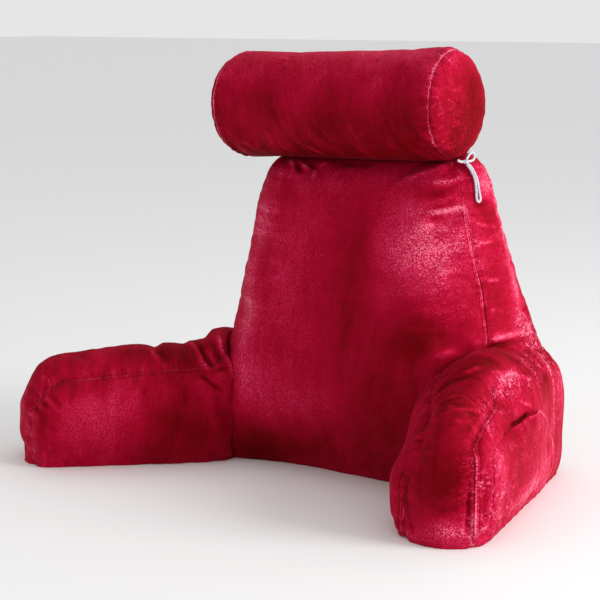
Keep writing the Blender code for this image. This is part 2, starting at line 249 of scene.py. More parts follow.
def open_group(name: str, inputs: tuple[str, ...]) -> tuple[NodeBench, bpy.types.Node]:
    """Start a shared effect that puts out a Value and a Height.

    Args:
        name: The group's name.
        inputs: The names of its inputs.

    Returns:
        A bench on the group's tree, and its input node.
    """
    group = bpy.data.node_groups.new(name, "ShaderNodeTree")
    for label in inputs:
        group.interface.new_socket(label, in_out="INPUT", socket_type="NodeSocketFloat")
    for label in ("Value", "Height"):
        group.interface.new_socket(label, in_out="OUTPUT", socket_type="NodeSocketFloat")
    bench = NodeBench(group)
    return bench, bench.add("NodeGroupInput")


def close_group(bench: NodeBench, value: object, height: object) -> bpy.types.NodeTree:
    """Join a shared effect's outputs.

    Args:
        bench: The bench on its tree.
        value: How much lighter it makes the pile.
        height: How high it raises the cloth, in metres.

    Returns:
        The group.
    """
    out = bench.add("NodeGroupOutput")
    bench.feed(out.inputs["Value"], value)
    bench.feed(out.inputs["Height"], height)
    return bench.tree


def pile_group() -> bpy.types.NodeTree:
    """Short velvet pile: its grain, the way it is brushed, and how it is crushed.

    Returns:
        A node group with the inputs Crush and Light and the outputs Value and Height.
    """
    found = bpy.data.node_groups.get("velvet_pile")
    if found:
        return found
    bench, given = open_group("velvet_pile", ("Crush", "Light"))
    crush, light = given.outputs["Crush"], given.outputs["Light"]
    place = bench.add("ShaderNodeTexCoord").outputs["Object"]
    fuzz = grain(bench, place, (640.0, 640.0, 640.0), 1.0, 0.0)
    speckle = grain(bench, place, (460.0, 460.0, 400.0), 2.0, 0.2)
    brush = grain(bench, place, (13.0, 13.0, 7.0), 4.0, 0.7)
    streak = grain(bench, place, (70.0, 70.0, 18.0), 3.0, 0.5)
    squiggle = grain(bench, place, (36.0, 36.0, 54.0), 3.0, 2.2)
    fleck = grain(bench, place, (100.0, 100.0, 150.0), 2.0, 1.6)
    where = bench.step(grain(bench, place, (19.0, 19.0, 15.0), 2.0, 1.0), 0.42, 0.56)
    ridge = bench.band(squiggle, 0.5, 0.026)
    chip = bench.step(fleck, 0.5, 0.6)
    sparkle = bench.math("MULTIPLY", bench.math("MULTIPLY_ADD", ridge, 0.8, chip), where)
    crushed = bench.math("MULTIPLY", crush, sparkle)
    turned = bench.math("MULTIPLY", crush, bench.math("SUBTRACT", squiggle, 0.5))
    value = bench.math("MULTIPLY", bench.math("SUBTRACT", brush, 0.5), 0.36)
    value = bench.math("MULTIPLY_ADD", bench.math("SUBTRACT", streak, 0.5), 0.16, value)
    # the flecks and fuzz grow stronger where the painted light of the place is brighter
    flecked = bench.math("MULTIPLY_ADD", light, 1.75, 0.22)
    value = bench.math("MULTIPLY_ADD", bench.math("SUBTRACT", speckle, 0.5), flecked, value)
    furred = bench.math("MULTIPLY_ADD", light, 0.6, 0.12)
    value = bench.math("MULTIPLY_ADD", bench.math("SUBTRACT", fuzz, 0.5), furred, value)
    value = bench.math("MULTIPLY_ADD", crushed, 0.52, value)
    value = bench.math("MULTIPLY_ADD", turned, 0.55, value)
    height = bench.math("MULTIPLY", fuzz, 0.00016)
    height = bench.math("MULTIPLY_ADD", speckle, 0.0003, height)
    height = bench.math("MULTIPLY_ADD", streak, 0.0006, height)
    height = bench.math("MULTIPLY_ADD", crushed, 0.0008, height)
    height = bench.math("MULTIPLY_ADD", turned, 0.0035, height)
    return close_group(bench, value, height)


def wrinkle_group() -> bpy.types.NodeTree:
    """Fine creases that run across a cushion, along the second axis of its cloth map, with painted highlights along
    their crests and painted light and shade over their soft bands.

    Returns:
        A node group with the input Amount and the outputs Value and Height.
    """
    found = bpy.data.node_groups.get("fine_wrinkles")
    if found:
        return found
    bench, given = open_group("fine_wrinkles", ("Amount",))
    amount = given.outputs["Amount"]
    chart = bench.add("ShaderNodeUVMap", {"uv_map": "cloth"}).outputs[0]
    soft = grain(bench, chart, (44.0, 8.0, 1.0), 2.0, 0.8)
    fine = grain(bench, chart, (125.0, 17.0, 1.0), 3.0, 0.9)
    line = bench.math("MULTIPLY", bench.band(fine, 0.52, 0.04), bench.step(soft, 0.42, 0.6))
    # painted highlights on the wrinkle crests and painted light and shade over the soft bands
    value = bench.math("MULTIPLY", bench.math("MULTIPLY", line, 0.26), amount)
    value = bench.math("MULTIPLY_ADD", bench.math("MULTIPLY", bench.math("SUBTRACT", soft, 0.5), 0.7), amount, value)
    height = bench.math("MULTIPLY", bench.math("MULTIPLY", soft, 0.0042), amount)
    height = bench.math("MULTIPLY_ADD", bench.math("MULTIPLY", fine, 0.0011), amount, height)
    return close_group(bench, value, height)


def seam_group() -> bpy.types.NodeTree:
    """A sewn seam: the drawn-in line with its row of top stitches, or a corded edge, and the puckers beside it, with
    painted shade in the groove and the stitch line and painted highlights on the lip, the ledge and the cord.

    Returns:
        A node group with the input Corded and the outputs Value and Height.
    """
    found = bpy.data.node_groups.get("sewn_seam")
    if found:
        return found
    bench, given = open_group("sewn_seam", ("Corded",))
    corded = given.outputs["Corded"]
    chart = bench.add("ShaderNodeUVMap", {"uv_map": "seam"}).outputs[0]
    split = bench.add("ShaderNodeSeparateXYZ", None, Vector=chart)
    along, off = split.outputs[0], split.outputs[1]
    groove = bench.band(off, 0.0, 0.0016)
    lip = bench.band(off, -0.0028, 0.0024)
    line = bench.band(off, -0.0086, 0.0014)
    ledge = bench.band(off, -0.0066, 0.0014)
    beat = bench.math("SINE", bench.math("MULTIPLY", along, 2.0 * math.pi / 0.0034))
    thread = bench.math("MULTIPLY", line, bench.step(beat, -0.3, 0.3))
    pucker = grain(bench, chart, (150.0, 30.0, 1.0), 3.0, 0.8)
    near = bench.math("MULTIPLY", bench.band(off, 0.0, 0.022), bench.math("SUBTRACT", pucker, 0.5))
    patchy_highlight = bench.step(grain(bench, chart, (34.0, 20.0, 1.0), 2.0, 0.4), 0.36, 0.56)
    # painted shade in the groove and the stitch line, painted highlights on the lip and the ledge, patchy along the
    # seam
    value = bench.math("MULTIPLY", groove, -0.26)
    value = bench.math("MULTIPLY_ADD", lip, bench.math("MULTIPLY_ADD", patchy_highlight, 0.2, 0.14), value)
    value = bench.math("MULTIPLY_ADD", line, -0.18, value)
    value = bench.math("MULTIPLY_ADD", ledge, bench.math("MULTIPLY", patchy_highlight, 0.2), value)
    value = bench.math("MULTIPLY_ADD", thread, 0.1, value)
    # a painted highlight along a corded edge
    cord = bench.math("MULTIPLY", corded, bench.band(off, 0.0, 0.0032))
    value = bench.math("MULTIPLY", value, bench.math("SUBTRACT", 1.0, corded))
    value = bench.math("MULTIPLY_ADD", cord, 0.56, value)
    # painted light and shade on the puckers
    value = bench.math("MULTIPLY_ADD", near, 0.5, value)
    height = bench.math("MULTIPLY", groove, -0.002)
    height = bench.math("MULTIPLY_ADD", lip, 0.0009, height)
    height = bench.math("MULTIPLY_ADD", line, -0.0007, height)
    height = bench.math("MULTIPLY_ADD", thread, 0.0005, height)
    height = bench.math("MULTIPLY", height, bench.math("SUBTRACT", 1.0, corded))
    height = bench.math("MULTIPLY_ADD", cord, 0.0014, height)
    height = bench.math("MULTIPLY_ADD", near, 0.0026, height)
    return close_group(bench, value, height)


def velvet(finish: VelvetFinish) -> bpy.types.Material:
    """The velvet material, made once.

    Args:
        finish: Its colours and gloss.

    Returns:
        The material.
    """
    found = bpy.data.materials.get(finish.name)
    if found:
        return found
    made, bench, shader = new_material(finish.name)
    crush = bench.add("ShaderNodeAttribute", {"attribute_name": "crush"}).outputs["Fac"]
    wrinkled = bench.add("ShaderNodeAttribute", {"attribute_name": "wrinkle"}).outputs["Fac"]
    nap_and_painted_light = bench.add("ShaderNodeAttribute", {"attribute_name": "nap_and_painted_light"}).outputs["Fac"]
    folds = bench.add("ShaderNodeGroup", {"node_tree": wrinkle_group()}, Amount=wrinkled)
    corded = bench.add("ShaderNodeAttribute", {"attribute_name": "corded"}).outputs["Fac"]
    seam = bench.add("ShaderNodeGroup", {"node_tree": seam_group()}, Corded=corded)
    # the painted light and shade from the mesh attribute, the wrinkles and the seams, added to the pile's own tone
    shift = bench.math("ADD", bench.math("ADD", nap_and_painted_light, folds.outputs["Value"]), seam.outputs["Value"])
    light = bench.math("MULTIPLY_ADD", shift, 1.6, 0.12)
    light = bench.add("ShaderNodeClamp", None, Value=light, Min=0.0, Max=0.8).outputs[0]
    pile = bench.add("ShaderNodeGroup", {"node_tree": pile_group()}, Crush=crush, Light=light)
    value = bench.math("ADD", shift, pile.outputs["Value"])
    height = bench.math("ADD", folds.outputs["Height"], seam.outputs["Height"])
    height = bench.math("ADD", pile.outputs["Height"], height)
    # the ramp gives darker and lighter copies of the red for the painted shade and highlights, as well as for the
    # pile's own tone
    ramp = bench.add("ShaderNodeValToRGB", None, Fac=bench.math("ADD", value, 0.5))
    stops = ramp.color_ramp.elements
    stops[0].position, stops[0].color = 0.0, finish.deep
    stops[1].position, stops[1].color = 1.0, finish.pale
    for place, colour in ((0.27, finish.shaded), (0.52, finish.plain), (0.78, finish.brushed)):
        stops.new(place).color = colour
    bench.feed(shader.inputs["Base Color"], ramp.outputs["Color"])
    rough = bench.add("ShaderNodeMapRange", None, From_Min=-0.4, From_Max=0.5, To_Min=0.74, To_Max=0.46)
    bench.feed(rough.inputs["Value"], value)
    bench.feed(shader.inputs["Roughness"], rough.outputs[0])
    bump = bench.add("ShaderNodeBump", None, Height=height, Strength=1.0, Distance=1.0)
    bench.feed(shader.inputs["Normal"], bump.outputs[0])
    shader.inputs["Sheen Weight"].default_value = finish.sheen
    shader.inputs["Sheen Roughness"].default_value = finish.sheen_roughness
    shader.inputs["Sheen Tint"].default_value = finish.sheen_tint
    shader.inputs["Specular IOR Level"].default_value = finish.specular
    return made


def elastic(finish: ElasticFinish) -> bpy.types.Material:
    """The elastic's material, made once.

    Args:
        finish: Its colours and braid.

    Returns:
        The material.
    """
    found = bpy.data.materials.get(finish.name)
    if found:
        return found
    made, bench, shader = new_material(finish.name)
    split = bench.add("ShaderNodeSeparateXYZ", None, Vector=bench.add("ShaderNodeUVMap", {"uv_map": "seam"}).outputs[0])
    turns = bench.math("MULTIPLY", split.outputs[0], 2.0 * math.pi / finish.braid_m)
    around = bench.math("MULTIPLY", split.outputs[1], 2.0 * math.pi * 4.0)
    left = bench.math("SINE", bench.math("ADD", turns, around))
    right = bench.math("SINE", bench.math("SUBTRACT", turns, around))
    strand = bench.math("MAXIMUM", left, right)
    bench.feed(shader.inputs["Base Color"], bench.mix(bench.step(strand, -0.2, 0.6), finish.groove, finish.light))
    bump = bench.add("ShaderNodeBump", None, Height=bench.math("MULTIPLY", strand, 0.0003), Strength=0.8, Distance=1.0)
    bench.feed(shader.inputs["Normal"], bump.outputs[0])
    shader.inputs["Roughness"].default_value = finish.roughness
    shader.inputs["Sheen Weight"].default_value = 0.2
    return made


def floor_material(finish: FloorFinish) -> bpy.types.Material:
    """The floor's material.

    Args:
        finish: Its colour and roughness.

    Returns:
        The material.
    """
    made, _, shader = new_material(finish.name)
    shader.inputs["Base Color"].default_value = finish.colour
    shader.inputs["Roughness"].default_value = finish.roughness
    return made


# ---- pattern -------------------------------------------------------------------------------------------
SINK = 0.012  # how far the patterns reach below the floor
OUTLINE_POINTS = 150
ARC_STEPS = 10


@dataclass(frozen=True)
class Corner:
    """A corner of a panel's outline, rounded to a radius."""

    across: float
    up: float
    radius: float


@dataclass(frozen=True)
class Fold:
    """A ridge or, with a height below zero, a crease, along given points on a cushion."""

    points: tuple[Row, ...]
    height: float
    width: float
    shine: float = 0.0  # painted highlight along it, or painted shade when below zero


@dataclass(frozen=True)
class NapAndLightPatch:
    """A place painted lighter or darker: partly the pile's own brushed tone, partly painted light and shade."""

    centre: Row
    reach: Row
    shift: float


def folds_of(*rows: tuple) -> tuple[Fold, ...]:
    """The folds whose values stand in the rows."""
    return tuple(Fold(*row) for row in rows)


def patches_of(*rows: tuple) -> tuple[NapAndLightPatch, ...]:
    """The patches of pile tone and painted light whose values stand in the rows."""
    return tuple(NapAndLightPatch(*row) for row in rows)


def unit(vector: np.ndarray) -> np.ndarray:
    """The vector at length one."""
    return vector / np.linalg.norm(vector)


def rounded_outline(corners: tuple[Corner, ...], count: int) -> np.ndarray:
    """Evenly spaced points anticlockwise round a polygon whose corners are arcs.

    Args:
        corners: The polygon's corners.
        count: How many points to return.

    Returns:
        The points, one a row.
    """
    places = [np.array((corner.across, corner.up)) for corner in corners]
    path = []
    for index, corner in enumerate(corners):
        into = unit(places[index] - places[index - 1])
        away = unit(places[(index + 1) % len(places)] - places[index])
        turn = math.acos(float(np.clip(into @ away, -1.0, 1.0)))
        inward = np.array((-into[1], into[0]))
        start = places[index] - into * corner.radius * math.tan(turn / 2)
        centre = start + inward * corner.radius
        for step in range(ARC_STEPS + 1):
            angle = turn * step / ARC_STEPS
            path.append(centre + corner.radius * (into * math.sin(angle) - inward * math.cos(angle)))
    path.append(path[0])
    path = np.array(path)
    reached = np.concatenate([[0.0], np.cumsum(np.linalg.norm(np.diff(path, axis=0), axis=1))])
    wanted = np.linspace(0.0, reached[-1], count, endpoint=False)
    return np.stack([np.interp(wanted, reached, path[:, axis]) for axis in (0, 1)], axis=1)


def smooth_line(spots: tuple[Row, ...] | list, steps: int = 6) -> np.ndarray:
    """A smooth line through the spots.

    Args:
        spots: The places that it passes.
        steps: Points for each pair of spots.

    Returns:
        The line's points, one a row.
    """
    spots = [np.array(spot, dtype=float) for spot in spots]
    spots = [2 * spots[0] - spots[1]] + spots + [2 * spots[-1] - spots[-2]]
    line = []
    for before, start, end, after in zip(spots, spots[1:], spots[2:], spots[3:]):
        for step in range(steps):
            t = step / steps
            bend = 2 * before - 5 * start + 4 * end - after
            twist = -before + 3 * start - 3 * end + after
            line.append(0.5 * (2 * start + (end - before) * t + bend * t**2 + twist * t**3))
    line.append(spots[-2])
    return np.array(line)


def ease(values: np.ndarray, low: float, high: float) -> np.ndarray:
    """A smooth step of the values, from 0 at low to 1 at high."""
    part = np.clip((values - low) / (high - low), 0.0, 1.0)
    return part * part * (3.0 - 2.0 * part)


class Line:
    """A line in space, and how far places lie from it and along it."""

    def __init__(self, points: np.ndarray, closed: bool = False) -> None:
        """Keep the line's points.

        Args:
            points: Its points, one a row.
            closed: Whether it runs back to its start.
        """
        self.points = np.vstack([points, points[:1]]) if closed else np.asarray(points)
        steps = np.linalg.norm(np.diff(self.points, axis=0), axis=1)
        self.passed = np.concatenate([[0.0], np.cumsum(steps)])

    def measure(self, places: np.ndarray) -> tuple[np.ndarray, np.ndarray]:
        """Find each place's nearest point on the line.

        Args:
            places: The places, one a row.

        Returns:
            The distance to the line, and the distance along it.
        """
        best = np.full(len(places), np.inf)
        along = np.zeros(len(places))
        for start, end, passed in zip(self.points, self.points[1:], self.passed):
            way = end - start
            length = max(float(np.linalg.norm(way)), 1e-9)
            part = np.clip((places - start) @ way / length**2, 0.0, 1.0)
            gap = places - (start + part[:, None] * way)
            gap = np.einsum("ij,ij->i", gap, gap)
            nearer = gap < best
            best[nearer] = gap[nearer]
            along[nearer] = (passed + part * length)[nearer]
        return np.sqrt(best), along


# ---- mesh work -----------------------------------------------------------------------------------------
def coordinates(thing: bpy.types.Object) -> np.ndarray:
    """The places of an object's vertices, one a row."""
    places = np.zeros(len(thing.data.vertices) * 3)
    thing.data.vertices.foreach_get("co", places)
    return places.reshape(-1, 3)


def move_to(thing: bpy.types.Object, places: np.ndarray) -> None:
    """Put an object's vertices at the places."""
    thing.data.vertices.foreach_set("co", places.ravel())
    thing.data.update()


def vertex_normals(thing: bpy.types.Object) -> np.ndarray:
    """The outward direction at each vertex, one a row."""
    found = np.zeros(len(thing.data.vertices) * 3)
    thing.data.vertices.foreach_get("normal", found)
    return found.reshape(-1, 3)


def closed_piece(shape: bmesh.types.BMesh, name: str) -> bpy.types.Object:
    """Turn a closed skin's faces outwards and make a smooth object of it.

    Args:
        shape: The skin, which is freed.
        name: The object's name.

    Returns:
        The object.
    """
    bmesh.ops.recalc_face_normals(shape, faces=shape.faces)
    mesh = bpy.data.meshes.new(name)
    shape.to_mesh(mesh)
    shape.free()
    thing = bpy.data.objects.new(name, mesh)
    bpy.context.scene.collection.objects.link(thing)
    mesh.shade_smooth()
    return thing


def write_chart(thing: bpy.types.Object, name: str, values: np.ndarray) -> None:
    """Give an object a UV map from values at its vertices.

    Args:
        thing: The object.
        name: The map's name.
        values: Two numbers for each vertex.
    """
    corners = np.zeros(len(thing.data.loops), dtype=np.int32)
    thing.data.loops.foreach_get("vertex_index", corners)
    thing.data.uv_layers.new(name=name).data.foreach_set("uv", values[corners].ravel())


def write_value(thing: bpy.types.Object, name: str, values: np.ndarray) -> None:
    """Give an object a named number at each vertex.

    Args:
        thing: The object.
        name: The attribute's name.
        values: One number for each vertex.
    """
    made = thing.data.attributes.new(name, "FLOAT", "POINT")
    made.data.foreach_set("value", values.astype(np.float32))


def make_active(thing: bpy.types.Object) -> None:
    """Select one object alone and make it active."""
    bpy.ops.object.select_all(action="DESELECT")
    thing.select_set(True)
    bpy.context.view_layer.objects.active = thing


def apply_modifier(thing: bpy.types.Object, kind: str, **settings: object) -> None:
    """Add a modifier and apply it.

    Args:
        thing: The object.
        kind: The modifier's type.
        **settings: Its properties.
    """
    made = thing.modifiers.new(kind.lower(), kind)
    for key, value in settings.items():
        setattr(made, key, value)
    make_active(thing)
    bpy.ops.object.modifier_apply(modifier=made.name)


def tree_of(thing: bpy.types.Object) -> BVHTree:
    """A search tree of an object's faces.

    Args:
        thing: The object.

    Returns:
        The tree.
    """
    shape = bmesh.new()
    shape.from_mesh(thing.data)
    tree = BVHTree.FromBMesh(shape)
    shape.free()
    return tree


def press_clear(thing: bpy.types.Object, other: bpy.types.Object, gap: float) -> None:
    """Press a soft piece back from a firmer one, so that a thin space stays between them.

    Args:
        thing: The soft piece.
        other: The firmer piece.
        gap: The space to keep.
    """
    tree = tree_of(other)
    places = coordinates(thing)
    for index, place in enumerate(places):
        near, normal, _, away = tree.find_nearest(Vector(place), CONTACT_SEARCH)
        if near is None:
            continue
        side = (Vector(place) - near).dot(normal)
        if side < 0.0 or away < gap:
            places[index] = near + normal * gap
    move_to(thing, places)


def drop_crumbs(thing: bpy.types.Object) -> None:
    """Delete the small loose shells that a remesh can leave beside the main one.

    Args:
        thing: The remeshed piece.
    """
    shape = bmesh.new()
    shape.from_mesh(thing.data)
    left, shells = set(shape.verts), []
    while left:
        shell = [left.pop()]
        for vert in shell:
            near = {edge.other_vert(vert) for edge in vert.link_edges} & left
            left -= near
            shell.extend(near)
        shells.append(shell)
    shells.sort(key=len)
    bmesh.ops.delete(shape, geom=[vert for shell in shells[:-1] for vert in shell], context="VERTS")
    shape.to_mesh(thing.data)
    shape.free()


def ripple(places: np.ndarray, size: Row, seed: float) -> np.ndarray:
    """Smooth noise, about -1 to 1, whose lumps have a size along each axis.

    Args:
        places: Where to read it, one a row.
        size: The size of its lumps along X, Y and Z.
        seed: Which noise it is.

    Returns:
        The noise at each place.
    """
    scaled = places / np.array(size) + seed
    return np.array([noise.noise(Vector(place)) for place in scaled])


def lay_folds(places: np.ndarray, folds: tuple[Fold, ...]) -> tuple[np.ndarray, np.ndarray]:
    """How far the folds raise each place, and the painted highlight or shade that they lay there.

    Args:
        places: The places, one a row.
        folds: The folds.

    Returns:
        The rise and the painted light and shade at each place.
    """
    rise = np.zeros(len(places))
    shine = np.zeros(len(places))
    for fold in folds:
        line = Line(smooth_line(fold.points, 4))
        middle = line.points.mean(axis=0)
        reach = np.linalg.norm(line.points - middle, axis=1).max() + 4.0 * fold.width
        close = np.flatnonzero(np.linalg.norm(places - middle, axis=1) < reach)
        off, along = line.measure(places[close])
        left = np.minimum(along, line.passed[-1] - along)
        taper = 0.15 + 0.85 * ease(left, 0.0, min(3.0 * fold.width, 0.45 * line.passed[-1]))
        hill = np.exp(-((off / fold.width) ** 2)) * taper
        rise[close] += fold.height * hill
        shine[close] += fold.shine * hill
    return rise, shine


# ---- cushions ------------------------------------------------------------------------------------------
class Side(Enum):
    """Which side of the sitter an arm is on."""

    LEFT = -1.0
    RIGHT = 1.0


@dataclass
class Cushion:
    """A stuffed piece of the pillow, made from the solid that it dresses."""

    node: str = ""
    finish: VelvetFinish = field(default_factory=VelvetFinish)
    voxel: float = 0.005
    slack: float = 0.0015  # how much smaller it starts than its solid
    guard: float = 0.0  # how much thicker it is while it is remeshed, so that thin edges stay closed
    pressure: float = 4.0
    looseness: float = 0.02  # how much wider the cloth is cut than the form
    cap: float = 0.009  # the most that the stuffing may move a place
    frames: int = 18
    seam_hold: float = 0.0045
    seam_depth: float = 0.0024
    seam_width: float = 0.0048
    pucker: float = 0.001
    pucker_reach: float = 0.026
    lump: float = 0.0018
    firmer: tuple[str, ...] = ()
    folds: tuple[Fold, ...] = ()
    patches: tuple[NapAndLightPatch, ...] = ()
    fill: float = 0.8
    corded: float = 0.0  # 1 where the seams carry a cord instead of top stitches
    painted_top_shade: float = 0.0  # painted shade where it faces up, or a painted highlight there when below zero
    trim: tuple[Row, Row] | None = None  # a plane's point and normal: what lies beyond it is cut off

    def seams(self) -> list[Line]:
        """The cushion's sewn lines."""
        raise NotImplementedError

    def seam_side(self, number: int, places: np.ndarray) -> np.ndarray:
        """Which side of a seam each place is on.

        Args:
            number: The seam's place in the list.
            places: The places, one a row.

        Returns:
            For each place, -1 on the seam's panel and 1 on its strip.
        """
        raise NotImplementedError

    def crush(self, places: np.ndarray, normals: np.ndarray) -> np.ndarray:
        """How crushed the pile is at each place."""
        return np.zeros(len(places))

    def wrinkle(self, places: np.ndarray, normals: np.ndarray) -> np.ndarray:
        """How finely wrinkled the cloth is at each place."""
        return np.full(len(places), 0.2)

    def cloth_map(self, places: np.ndarray) -> np.ndarray:
        """Two distances for each place, across the fine wrinkles and along them."""
        return np.stack([places[:, 2], places[:, 0] + places[:, 1]], axis=1)

    def freedom(self, places: np.ndarray) -> np.ndarray:
        """How freely the stuffing may move each place, from 0 to 1."""
        return np.ones(len(places))

    def form(self) -> bpy.types.Object:
        """The cushion's plain form, remeshed evenly from a merged copy of its solid."""
        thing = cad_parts[self.node].copy()
        thing.data = thing.data.copy()
        thing.name = self.node + "_plush"
        for key in [key for key in thing.keys() if key.startswith("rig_")]:
            del thing[key]
        thing.parent = None
        thing.data.materials.clear()
        bpy.context.scene.collection.objects.link(thing)
        shape = bmesh.new()
        shape.from_mesh(thing.data)
        bmesh.ops.remove_doubles(shape, verts=shape.verts, dist=0.00002)
        if self.trim:
            geom = [*shape.verts, *shape.edges, *shape.faces]
            bmesh.ops.bisect_plane(shape, geom=geom, plane_co=self.trim[0], plane_no=self.trim[1], clear_outer=True)
            bmesh.ops.holes_fill(shape, edges=[edge for edge in shape.edges if edge.is_boundary])
        shape.to_mesh(thing.data)
        shape.free()
        if self.guard:
            apply_modifier(thing, "DISPLACE", strength=self.guard, mid_level=0.0)
        apply_modifier(thing, "REMESH", mode="VOXEL", voxel_size=self.voxel, use_smooth_shade=True)
        drop_crumbs(thing)
        places = coordinates(thing)
        inward = vertex_normals(thing) * (self.slack + self.guard)
        inward[places[:, 2] < BASE_BAND] = 0.0
        move_to(thing, places - inward)
        return thing

    def stuff(self, thing: bpy.types.Object) -> None:
        """Blow the cover up like a filled cushion, held along its seams and on its base.

        Args:
            thing: The cushion's form.
        """
        before = coordinates(thing)
        off = np.min([seam.measure(before)[0] for seam in self.seams()], axis=0)
        held = np.flatnonzero((off < self.seam_hold) | (before[:, 2] < BASE_BAND))
        group = thing.vertex_groups.new(name="held")
        group.add([int(index) for index in held], 1.0, "REPLACE")
        cloth = thing.modifiers.new("stuffing", "CLOTH")
        settings = cloth.settings
        settings.quality = 5
        settings.mass = 0.25
        settings.tension_stiffness = 10.0
        settings.compression_stiffness = 10.0
        settings.shear_stiffness = 5.0
        settings.bending_stiffness = 1.2
        settings.use_pressure = True
        settings.uniform_pressure_force = self.pressure
        settings.shrink_min = -self.looseness
        settings.vertex_group_mass = group.name
        settings.effector_weights.gravity = 0.0
        cloth.collision_settings.use_collision = False
        cloth.point_cache.frame_start = 1
        cloth.point_cache.frame_end = self.frames
        for number in range(1, self.frames + 1):
            bpy.context.scene.frame_set(number)
        make_active(thing)
        bpy.ops.object.modifier_apply(modifier=cloth.name)
        bpy.context.scene.frame_set(1)
        thing.vertex_groups.clear()
        moved = coordinates(thing) - before
        length = np.linalg.norm(moved, axis=1)
        LOG.info("%s moved %.1f mm at most, %.1f mm on average", thing.name, length.max() * 1e3, length.mean() * 1e3)
        scale = self.freedom(before) * self.cap * np.tanh(length / self.cap) / np.maximum(length, 1e-9)
        move_to(thing, before + moved * scale[:, None])

    def carve(self, thing: bpy.types.Object) -> np.ndarray:
        """Draw the seams in, and lay the folds, the gathers and the lumps of the filling.

        Args:
            thing: The stuffed cushion.

        Returns:
            The painted light and shade at each vertex, lighter above zero.
        """
        places = coordinates(thing)
        normals = vertex_normals(thing)
        rise, shine = lay_folds(places, self.folds)
        for number, seam in enumerate(self.seams()):
            off, along = seam.measure(places)
            rise -= self.seam_depth * np.exp(-((off / self.seam_width) ** 2))
            close = np.flatnonzero(off < 2.5 * self.pucker_reach)
            spots = np.stack([along, off * 0.25, np.full(len(off), 3.7 * number)], axis=1)[close]
            near = np.exp(-((off[close] / self.pucker_reach) ** 2)) * ease(off[close], 0.0, 0.005)
            gathers = near * ripple(spots, (0.01, 0.01, 1.0), 5.1)
            rise[close] += self.pucker * gathers
            # painted light and shade on the gathers beside each seam
            shine[close] += 0.09 * gathers
        rise += self.lump * ripple(places, (0.055, 0.055, 0.055), 2.3)
        move_to(thing, places + normals * rise[:, None])
        return shine

    def settle(self, thing: bpy.types.Object) -> None:
        """Rest the base flat and keep clear of the firmer pieces.

        Args:
            thing: The carved cushion.
        """
        for name in self.firmer:
            press_clear(thing, bpy.data.objects[name + "_plush"], CONTACT_GAP)
        places = coordinates(thing)
        places[:, 2] = np.maximum(places[:, 2], 0.0)
        move_to(thing, places)

    def mark(self, thing: bpy.types.Object, shine: np.ndarray) -> None:
        """Write what the velvet reads: its seam and cloth maps, how crushed and wrinkled it is, and its painted light
        and shade with the pile's own tone.

        Args:
            thing: The settled cushion.
            shine: The painted light and shade at each vertex, lighter above zero.
        """
        places = coordinates(thing)
        normals = vertex_normals(thing)
        off = np.full(len(places), np.inf)
        along = np.zeros(len(places))
        for number, seam in enumerate(self.seams()):
            gap, passed = seam.measure(places)
            gap = np.maximum(gap - CORD_REACH * self.corded, 0.0)
            nearer = gap < np.abs(off)
            off[nearer] = (gap * self.seam_side(number, places))[nearer]
            along[nearer] = passed[nearer] + 10.0 * number
        # painted shade on the faces that look up, then the patches of painted light and shade
        nap_and_painted_light = shine - self.painted_top_shade * ease(normals[:, 2], 0.2, 0.9)
        for patch in self.patches:
            away = (places - np.array(patch.centre)) / np.array(patch.reach)
            nap_and_painted_light += patch.shift * np.exp(-np.sum(away**2, axis=1))
        write_chart(thing, "seam", np.stack([along, off], axis=1))
        write_chart(thing, "cloth", self.cloth_map(places))
        write_value(thing, "crush", self.crush(places, normals))
        write_value(thing, "wrinkle", self.wrinkle(places, normals))
        write_value(thing, "nap_and_painted_light", nap_and_painted_light)
        write_value(thing, "corded", np.full(len(places), self.corded))

    def build(self) -> bpy.types.Object:
        """Make the cushion and hand it to the frame.

        Returns:
            The finished piece.
        """
        thing = self.form()
        self.stuff(thing)
        apply_modifier(thing, "SUBSURF", levels=1, render_levels=1)
        shine = self.carve(thing)
        self.settle(thing)
        thing.data.shade_smooth()
        self.mark(thing, shine)
        thing.data.materials.append(velvet(self.finish))
        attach(thing, ROOT)
        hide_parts(self.node)
        LOG.info("%s has %d faces", thing.name, len(thing.data.polygons))
        return thing


